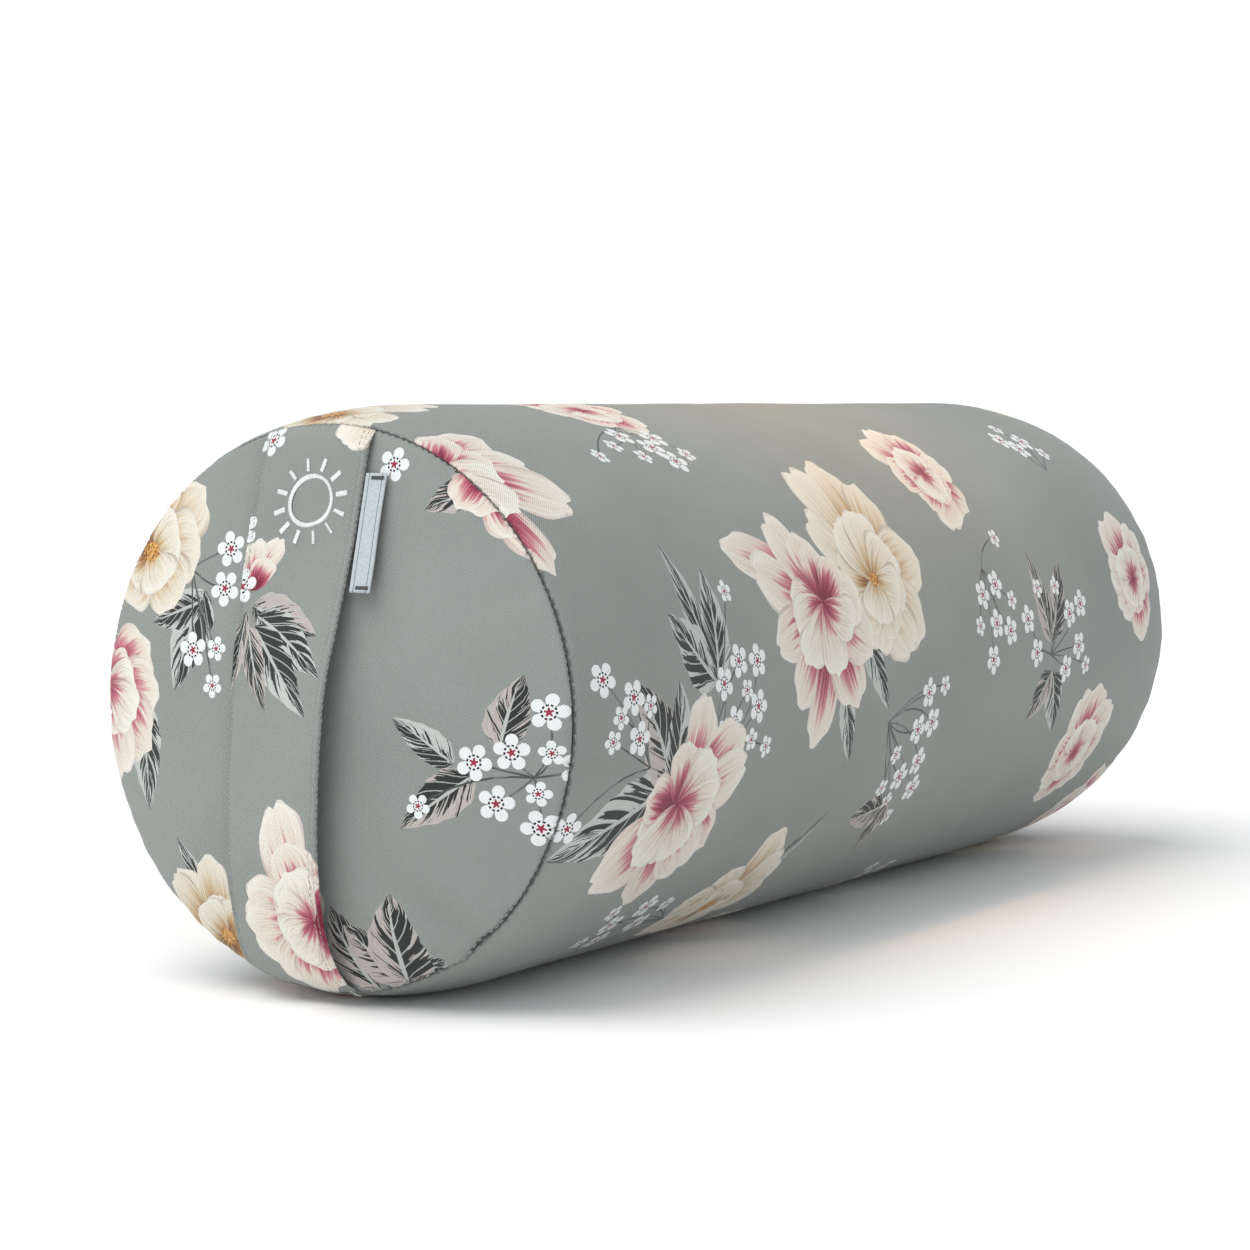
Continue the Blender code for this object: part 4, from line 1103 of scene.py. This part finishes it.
for finish, names in ((tape, ("zip_tape_upper", "zip_tape_lower")),
                      (nickel, ("zip_top_stop_upper", "zip_top_stop_lower", "zip_bottom_stop",
                                "zip_slider", "zip_pull"))):
    for name in names:
        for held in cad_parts[name].material_slots:
            held.link = "OBJECT"
            held.material = finish


# Sewing thread: spun polyester with a matt, slightly hairy twist. Its two-ply twist is drawn as
# slanted bands across each stitch.
def thread_finish(name, low, high, roughness, sheen, twist=2200.0):
    made, group, surface = new_finish(name, Roughness=roughness, Sheen_Weight=sheen)
    where = add(group, "ShaderNodeTexCoord").outputs["Object"]
    ply = add(group, "ShaderNodeTexWave", {"Vector": where, "Scale": twist / 6.28, "Distortion": 2.0},
              bands_direction="DIAGONAL")
    tone = add(group, "ShaderNodeValToRGB", {0: ply.outputs["Fac"]})
    shades(tone, (0.0, low), (1.0, high))
    group.links.new(tone.outputs[0], surface.inputs["Base Color"])
    bump = add(group, "ShaderNodeBump", {"Height": ply.outputs["Fac"], "Strength": 0.4, "Distance": 0.00005})
    group.links.new(bump.outputs[0], surface.inputs["Normal"])
    return made


pale_thread = thread_finish("pale_spun_polyester", "#b9beb9", "#dfe2de", 0.75, 0.2)
dark_thread = thread_finish("dark_spun_polyester", "#3c403e", "#5d625f", 0.8, 0.1)
grey_thread = thread_finish("grey_spun_polyester", "#959b97", "#a9aeaa", 0.8, 0.15)

stitch_tree, given = tree_with("thread_row", ("Pitch", "NodeSocketFloat", 0.0025),
                               ("Stitch Length", "NodeSocketFloat", 0.002),
                               ("Thread Width", "NodeSocketFloat", 0.0004), ("Turn", "NodeSocketFloat", 0.0),
                               ("Seed", "NodeSocketInt", SEED), ("Finish", "NodeSocketMaterial", None))
line = add(stitch_tree, "GeometryNodeMeshToCurve", {0: given["Geometry"]})
line = add(stitch_tree, "GeometryNodeResampleCurve", {"Curve": line, "Length": given["Pitch"]},
           mode="LENGTH")
lie = add(stitch_tree, "GeometryNodeInputNamedAttribute", {"Name": "lie"},
          data_type="FLOAT_VECTOR").outputs["Attribute"]
way = add(stitch_tree, "GeometryNodeInputTangent")
way = add(stitch_tree, "ShaderNodeVectorRotate", {"Vector": way, "Axis": lie, "Angle": given["Turn"]})
set_to = add(stitch_tree, "FunctionNodeAxesToRotation", {0: way, 1: lie}, primary_axis="X",
             secondary_axis="Z")
half_length = add(stitch_tree, "ShaderNodeMath", {0: given["Stitch Length"], 1: 0.5}, operation="MULTIPLY")
half_thick = add(stitch_tree, "ShaderNodeMath", {0: given["Thread Width"], 1: 0.5}, operation="MULTIPLY")
girth = add(stitch_tree, "ShaderNodeCombineXYZ", {0: half_length, 1: half_thick, 2: half_thick})
bead = add(stitch_tree, "GeometryNodeMeshUVSphere", {"Segments": 6, "Rings": 6, "Radius": 1.0})
bead = add(stitch_tree, "GeometryNodeTransform", {"Geometry": bead,
                                                  "Rotation": (0.0, math.radians(90), 0.0)})
bead = add(stitch_tree, "GeometryNodeTransform", {"Geometry": bead, "Scale": girth})
uneven = add(stitch_tree, "FunctionNodeRandomValue", {2: 0.90, 3: 1.06, "Seed": given["Seed"]},
             data_type="FLOAT")
placed = add(stitch_tree, "GeometryNodeInstanceOnPoints", {"Points": line, "Instance": bead,
                                                           "Rotation": set_to, "Scale": uneven.outputs[1]})
real = add(stitch_tree, "GeometryNodeRealizeInstances", {0: placed})
smooth = add(stitch_tree, "GeometryNodeSetShadeSmooth", {"Geometry": real})
done = add(stitch_tree, "GeometryNodeSetMaterial", {"Geometry": smooth, "Material": given["Finish"]})
add(stitch_tree, "NodeGroupOutput", {0: done})


def sewn(name, runs, finish, pitch, length, width, turn=0.0):
    """Stitches along runs of (point, normal), each a list from end to end."""
    points, normals, edges = [], [], []
    for run in runs:
        start = len(points)
        points += [tuple(p) for p, _ in run]
        normals += [tuple(n) for _, n in run]
        edges += [(start + i, start + i + 1) for i in range(len(run) - 1)]
    mesh = bpy.data.meshes.new(name + "_run")
    mesh.from_pydata(points, edges, [])
    mesh.attributes.new("lie", "FLOAT_VECTOR", "POINT").data.foreach_set(
        "vector", np.array(normals, np.float32).ravel())
    return grown(name, mesh, stitch_tree, Pitch=pitch, Stitch_Length=length, Thread_Width=width,
                 Turn=turn, Seed=SEED, Finish=finish)


for name, way in (("upper", 1), ("lower", -1)):
    face = RADIUS * math.cos(math.asin(SLOT_ROW / 1000 / RADIUS)) + 0.0002
    out = at_zip(0, 1, 0) - at_zip(0, 0, 0)
    run = [(at_zip(x, face, way * SLOT_ROW / 1000), out) for x in np.linspace(-HALF_ZIP, HALF_ZIP, 60)]
    row = sewn(f"zip_stitches_{name}", [run], pale_thread, 0.0028, 0.0022, 0.0005)
    stands_for(row, "bolster", "sewing_thread", f"zip_topstitch_{name}")

# ---------------------------------------------------------------------------------------------
# End seams. The body and each round end are sewn face to face and turned, so only the thread
# shows in the groove between them, pulled a little tight.
for side, end in ((-1, "front"), (1, "rear")):
    ring = []
    for i in range(241):
        a = math.tau * i / 240
        ring.append((Vector((side * (HALF_SPAN + 0.00025), 0.1078 * math.cos(a),
                             AXIS_Z + 0.1078 * math.sin(a))),
                     Vector((0, math.cos(a), math.sin(a)))))
    seam = sewn(f"seam_stitches_{end}", [ring], dark_thread, 0.0026, 0.0025, 0.0004)
    stands_for(seam, "bolster", "sewing_thread", f"seam_thread_{end}")

# ---------------------------------------------------------------------------------------------
# Handle band. A strip of the printed cotton folded double and pressed, sewn into the seam at
# both ends and lying over the front end. Its loose edge stands off for a hand, and both edges
# are topstitched.
BAND_LENGTH = 2 * (SEAM_RADIUS - 0.0006) * 1000
BAND_HALF = 25.0
BAND_THICK = 1.6


def on_band(flat, lift):
    """Right and down on the band, in mm from the middle of its top end, to its place."""
    down, across = flat[:, 1] / BAND_LENGTH, -flat[:, 0] / 50
    y = 0.003 + 0.008 * down + 0.050 * across
    height = np.sqrt(np.maximum((BAND_LENGTH / 2000) ** 2 - y * y, 0)) * (1 - 2 * down)
    slack = 0.0085 * eased((down - 0.12) / 0.38) * (1 - down**14)
    stand = 0.0030 + slack * (0.5 - across) + lift / 1000
    to_seam = np.minimum(flat[:, 1], BAND_LENGTH - flat[:, 1])
    stand = stand * (0.35 + 0.65 * eased(to_seam / 5.0))
    x = -(HALF_SPAN + 0.0005 + end_bulge(y, height) + stand)
    return carry(np.stack([x, y, AXIS_Z + height], axis=1))


def band_shape(flat, way):
    """How the folded cloth lies: round at its folds, drawn in along each row of stitches."""
    gap = BAND_HALF - np.abs(flat[:, 0])
    turned = turned_in(gap, 0.9, BAND_THICK / 2)
    drawn = 0.55 * np.exp(-((gap - 2.4) / 0.7) ** 2)
    drawn += 0.20 * np.exp(-((gap - 4.3) / 0.6) ** 2) * (flat[:, 0] > 0)
    drawn -= 0.45 * np.exp(-((gap - 1.2) / 0.7) ** 2)
    ease = np.array([noise.noise(Vector((u * 0.05, v * 0.03, 4.0)))
                     + 0.5 * noise.noise(Vector((u * 0.12, v * 0.11, 9.0))) for u, v in flat])
    return way * (turned + drawn) - ease * 0.35


def band_outer(flat):
    return on_band(flat, -band_shape(flat, 1))


def band_lining(flat):
    return on_band(flat, -BAND_THICK - band_shape(flat, -1))


band_print = []
leaves(band_print, here, ((-17, 68), (16, 80), 18), ((-14, 72), (23, 90), 17), ((-15, 76), (15, 110), 18),
       ((-18, 76), (-9, 109), 12), ((-20, 70), (-22, 104), 7))
flower(band_print, here, (-18, 62), [(-12, 42), (-24, 44), (-14, 50)], 13, PINK)
leaf_or_petal(band_print, (24, -8), (15, 8), 16, GOLD, 0.1, 0.3)
spray(band_print, here, (-26, 46), [(-27, 38), (-24, 60)])
flower(band_print, here, (20, 186), [(-2, 145), (12, 156), (-14, 178), (-13, 200), (4, 214), (20, 214)],
       30, PINK, [(8, 168), (2, 184), (6, 198)])
blossom(band_print, (-20, 4), 6.0)
outline = bordered(-BAND_HALF, BAND_HALF, 0.0, BAND_LENGTH, 2.5)
rows_u = edge_rows(-BAND_HALF, BAND_HALF, 2.5, (0.08, 0.25, 0.55, 0.95, 1.3, 1.9, 2.5, 3.1, 3.7, 4.3, 5.0))
rows_v = edge_rows(0, BAND_LENGTH, 2.5, (0.8, 2.0, 3.5))
band = panel("handle_strip", outline, net_of(rows_u, rows_v), band_print, band_outer,
             net_of(rows_u[1::2], rows_v[::2]),
             band_lining, cotton, ((0.0, 0.0, 0.24, 1.0), (0.26, 0.0, 0.50, 1.0)))
stands_for(band, "bolster", "printed_cotton", "handle_band")


def band_run(across, low=1.5, high=None):
    flat = np.array([(across, v) for v in np.linspace(low, (high or BAND_LENGTH) - 1.5, 120)])
    at, out = on_band(flat, -band_shape(flat, 1) + 0.05), on_band(flat, -band_shape(flat, 1) + 1.05)
    return [(Vector(p), (Vector(q) - Vector(p)).normalized()) for p, q in zip(at, out)]


for name, across in (("loose_outer", BAND_HALF - 2.3), ("loose_inner", BAND_HALF - 4.3),
                     ("fixed", -(BAND_HALF - 2.3))):
    row = sewn(f"band_stitches_{name}", [band_run(across)], grey_thread, 0.0025, 0.0019, 0.0004)
    stands_for(row, "bolster", "sewing_thread", f"band_topstitch_{name}")

# Loose ends of thread where the stitching of the band's lower end was cut off by hand.
tuft_root = Vector(on_band(np.array([[BAND_HALF - 3.0, BAND_LENGTH - 0.6]]), 0.2)[0])
strands = bpy.data.curves.new("thread_ends", "CURVE")
strands.dimensions = "3D"
strands.bevel_depth = 0.00017
strands.bevel_resolution = 1
strands.use_fill_caps = True
for i, (dy, dz, curl) in enumerate(((-4.2, 1.2, 1.0), (-5.4, -0.4, -1.0), (-2.6, 2.4, 1.6),
                                    (-3.4, 0.6, -1.8), (-1.2, 1.8, 0.8))):
    spline = strands.splines.new("POLY")
    spline.points.add(8)
    for k, point in enumerate(spline.points):
        t = k / 8
        spot = tuft_root + Vector((-0.0006 * math.sin(5 * t + i) * t - 0.0004,
                                   (dy * t + curl * math.sin(4.0 * t) * 0.5) / 1000,
                                   (dz * t + curl * (1 - math.cos(4.5 * t)) * 0.5) / 1000))
        point.co = (spot.x, spot.y, max(spot.z, 0.0006), 1)
wisp = bpy.data.objects.new("thread_ends_curve", strands)
scene.collection.objects.link(wisp)
tuft_mesh = bpy.data.meshes.new_from_object(wisp.evaluated_get(bpy.context.evaluated_depsgraph_get()))
bpy.data.objects.remove(wisp)
tuft_mesh.materials.clear()
tuft_mesh.materials.append(pale_thread)
tuft = bpy.data.objects.new("thread_ends", tuft_mesh)
scene.collection.objects.link(tuft)
stands_for(tuft, "bolster", "sewing_thread")

# ---------------------------------------------------------------------------------------------
# Embroidery. A plain ring with twelve short rays near the top of the band, in white satin
# stitch: threads laid close side by side across each line.
satin = thread_finish("rayon_embroidery_thread", "#d5d9d8", "#f3f5f4", 0.38, 0.3, 3000.0)


def emblem_point(radius, turn):
    flat = np.array([[3.0 - radius * math.sin(turn), 29.0 - radius * math.cos(turn)]])
    at, out = on_band(flat, 0.12)[0], on_band(flat, 1.12)[0]
    return Vector(at), (Vector(out) - Vector(at)).normalized()


ring = [emblem_point(9.2, math.tau * i / 72) for i in range(73)]
rays = []
for i in range(12):
    turn = math.tau * (i + 0.5) / 12
    rays.append([emblem_point(r, turn) for r in np.linspace(11.6, 16.2, 6)])
emblem = sewn("embroidered_ring", [ring] + rays, satin, 0.00034, 0.0023, 0.00046, math.radians(84))
stands_for(emblem, "bolster", "satin_stitch", "emblem_embroidery")

# ---------------------------------------------------------------------------------------------
# Side label. A narrow woven ribbon folded double and caught under the band's loose edge, blank
# but for a woven line beside each selvedge, with a dark bar tack at its top and bottom.
LABEL_TOP = Vector((-0.2931242, -0.0221889, 0.2016876))
LABEL_BOTTOM = Vector((-0.3045698, -0.0221889, 0.1577181))
LABEL_LONG = (LABEL_TOP - LABEL_BOTTOM).length
LABEL_REACH = 0.0085
label_turn = math.atan2(LABEL_TOP.x - LABEL_BOTTOM.x, LABEL_TOP.z - LABEL_BOTTOM.z)
label_place = Matrix.Translation(LABEL_TOP) @ Matrix.Rotation(label_turn, 4, "Y")

# Ribbon: polyester woven in satin on a narrow loom, smooth with a low sheen. Its rib is really
# 0.25 mm and is drawn at 0.7 mm so that it shows.
ribbon, group, surface = new_finish("woven_satin_ribbon", Roughness=0.5, Sheen_Weight=0.25)
place = add(group, "ShaderNodeAttribute", attribute_name="cloth").outputs["Vector"]
spot = add(group, "ShaderNodeSeparateXYZ", {0: place})
weft = add(group, "ShaderNodeMath", {0: spot.outputs[1], 1: math.tau / 0.7}, operation="MULTIPLY")
weft = add(group, "ShaderNodeMath", {0: weft}, operation="SINE")
cross = add(group, "ShaderNodeMath", {0: spot.outputs[0], 1: math.tau / 0.9}, operation="MULTIPLY")
cross = add(group, "ShaderNodeMath", {0: cross}, operation="SINE")
weave = add(group, "ShaderNodeMath", {0: weft, 1: cross}, operation="MULTIPLY")
fuzz = add(group, "ShaderNodeTexNoise", {"Vector": place, "Scale": 0.8, "Detail": 3.0})
tone = add(group, "ShaderNodeValToRGB", {0: fuzz})
shades(tone, (0.3, "#a9b4b8"), (0.7, "#bcc6c9"))
edge = add(group, "ShaderNodeMath", {0: spot.outputs[0], 1: 4.2}, operation="SUBTRACT")
edge = add(group, "ShaderNodeMath", {0: edge}, operation="ABSOLUTE")
edge = add(group, "ShaderNodeMath", {0: edge, 1: 2.9, 2: 0.16}, operation="COMPARE")
lined = add(group, "ShaderNodeMix", {0: edge, 6: tone, 7: linear("#5c676b")}, data_type="RGBA")
group.links.new(lined.outputs[2], surface.inputs["Base Color"])
bump = add(group, "ShaderNodeBump", {"Height": weave, "Strength": 0.35, "Distance": 0.00012})
group.links.new(bump.outputs[0], surface.inputs["Normal"])

section = [(-0.00042, 0.00035)]
section += [(-0.00042 - 0.00006 * math.sin(math.pi * t), 0.0002 - (LABEL_REACH - 0.0003) * t)
            for t in np.linspace(0, 1, 9)]
section += [(-0.00046 * math.cos(a), -LABEL_REACH + 0.0001 - 0.00038 * math.sin(a))
            for a in np.linspace(0.5, math.pi - 0.5, 5)]
section += [(0.00042 + 0.00006 * math.sin(math.pi * t), 0.0002 - (LABEL_REACH - 0.0003) * t)
            for t in np.linspace(1, 0, 9)]
section += [(0.00042, 0.00035)]
points, faces, cloth_at = [], [], []
steps, count = 44, len(section)
for i in range(steps + 1):
    down = i / steps
    for k, (a, b) in enumerate(section):
        wave = 0.00013 * math.sin(9 * down + 1) * (-b / LABEL_REACH)
        points.append(tuple(label_place @ Vector((a + wave, b, -LABEL_LONG * down))))
        cloth_at.append((-b * 1000, LABEL_LONG * 1000 * down, 0))
for i in range(steps):
    for k in range(count):
        j = (k + 1) % count
        faces.append((i * count + k, i * count + j, (i + 1) * count + j, (i + 1) * count + k))
for base, flip in ((0, False), (steps * count, True)):
    for k in range(count // 2 - 1 + count % 2):
        quad = [base + k, base + k + 1, base + count - 2 - k, base + count - 1 - k]
        quad = list(dict.fromkeys(quad))
        if len(quad) > 2:
            faces.append(tuple(quad if flip else quad[::-1]))
mesh = plain_mesh("ribbon_label", points, faces)
mesh.shade_smooth()
mesh.attributes.new("cloth", "FLOAT_VECTOR", "POINT").data.foreach_set(
    "vector", np.array(cloth_at, np.float32).ravel())
mesh.materials.append(ribbon)
label = bpy.data.objects.new("ribbon_label", mesh)
scene.collection.objects.link(label)
stands_for(label, "label", "woven_ribbon", "side_label")

face_way = (label_place.to_3x3() @ Vector((-1, 0, 0))).normalized()
for name, down in (("top", 0.0018), ("bottom", LABEL_LONG - 0.0018)):
    run = [(label_place @ Vector((-0.00060, -b, -down)), face_way) for b in np.linspace(0.0026, 0.0078, 8)]
    tack = sewn(f"bar_tack_{name}", [run], dark_thread, 0.00042, 0.0016, 0.0005, math.radians(82))
    stands_for(tack, "label", "dark_thread", f"label_tack_{name}")

# ---------------------------------------------------------------------------------------------
# Studio: a white floor and backdrop, a large soft light above, a weaker and cooler one from the
# front, and a small warm lamp over the middle of the bolster.
CAMERA_AT = (-1.2805, -0.7250, 0.2293)
CAMERA_TURN = (math.radians(86.01), 0.0, math.radians(-59.09))
camera = bpy.data.objects.new("camera", bpy.data.cameras.new("camera"))
camera.data.lens = 93.4
camera.data.sensor_width = 36
camera.data.clip_end = 50
camera.location, camera.rotation_euler = CAMERA_AT, CAMERA_TURN
scene.collection.objects.link(camera)
scene.camera = camera
scene.view_settings.view_transform = "Standard"

# Painted studio floor: matt white, slightly mottled.
paint, group, surface = new_finish("matt_white_paint", Roughness=0.9)
where = add(group, "ShaderNodeTexCoord").outputs["Object"]
mottle = add(group, "ShaderNodeTexNoise", {"Vector": where, "Scale": 3.0, "Detail": 3.0})
tone = add(group, "ShaderNodeValToRGB", {0: mottle})
shades(tone, (0.0, "#f6f7f6"), (1.0, "#fcfcfc"))
group.links.new(tone.outputs[0], surface.inputs["Base Color"])
FLOOR_HALF, FLOOR_DROP = 12, -0.0003
floor_corners = [(x * FLOOR_HALF, y * FLOOR_HALF, FLOOR_DROP)
                 for x, y in ((-1, -1), (1, -1), (1, 1), (-1, 1))]
floor = bpy.data.objects.new("floor", plain_mesh("floor", floor_corners, [(0, 1, 2, 3)]))
floor.data.materials.append(paint)
scene.collection.objects.link(floor)

world = bpy.data.worlds.new("studio")
scene.world = world
world.use_nodes = True
backdrop = world.node_tree.nodes["Background"]
seen = add(world.node_tree, "ShaderNodeLightPath").outputs["Is Camera Ray"]
level = add(world.node_tree, "ShaderNodeMapRange", {"Value": seen, "To Min": 0.54, "To Max": 1.05})
world.node_tree.links.new(level.outputs[0], backdrop.inputs["Strength"])
backdrop.inputs["Color"].default_value = (0.97, 0.985, 1.0, 1.0)


def soft_sun(name, way, strength, spread, hexed):
    light = bpy.data.lights.new(name, "SUN")
    light.energy, light.angle, light.color = strength, math.radians(spread), linear(hexed)[:3]
    lamp = bpy.data.objects.new(name, light)
    lamp.rotation_euler = Vector(way).to_track_quat("-Z", "Y").to_euler()
    scene.collection.objects.link(lamp)


soft_sun("window_light", (0.42, -0.30, -1.0), 2.0, 50, "#fffefb")
soft_sun("front_light", (0.9, 0.35, -0.55), 0.55, 60, "#f3f7ff")
glow = bpy.data.lights.new("warm_lamp", "SPOT")
glow.energy, glow.shadow_soft_size, glow.color = 24.0, 0.12, linear("#ffbd50")[:3]
glow.spot_size, glow.spot_blend = math.radians(17), 1.0
lamp = bpy.data.objects.new("warm_lamp", glow)
lamp.location = (0.02, 0.0, 1.25)
scene.collection.objects.link(lamp)
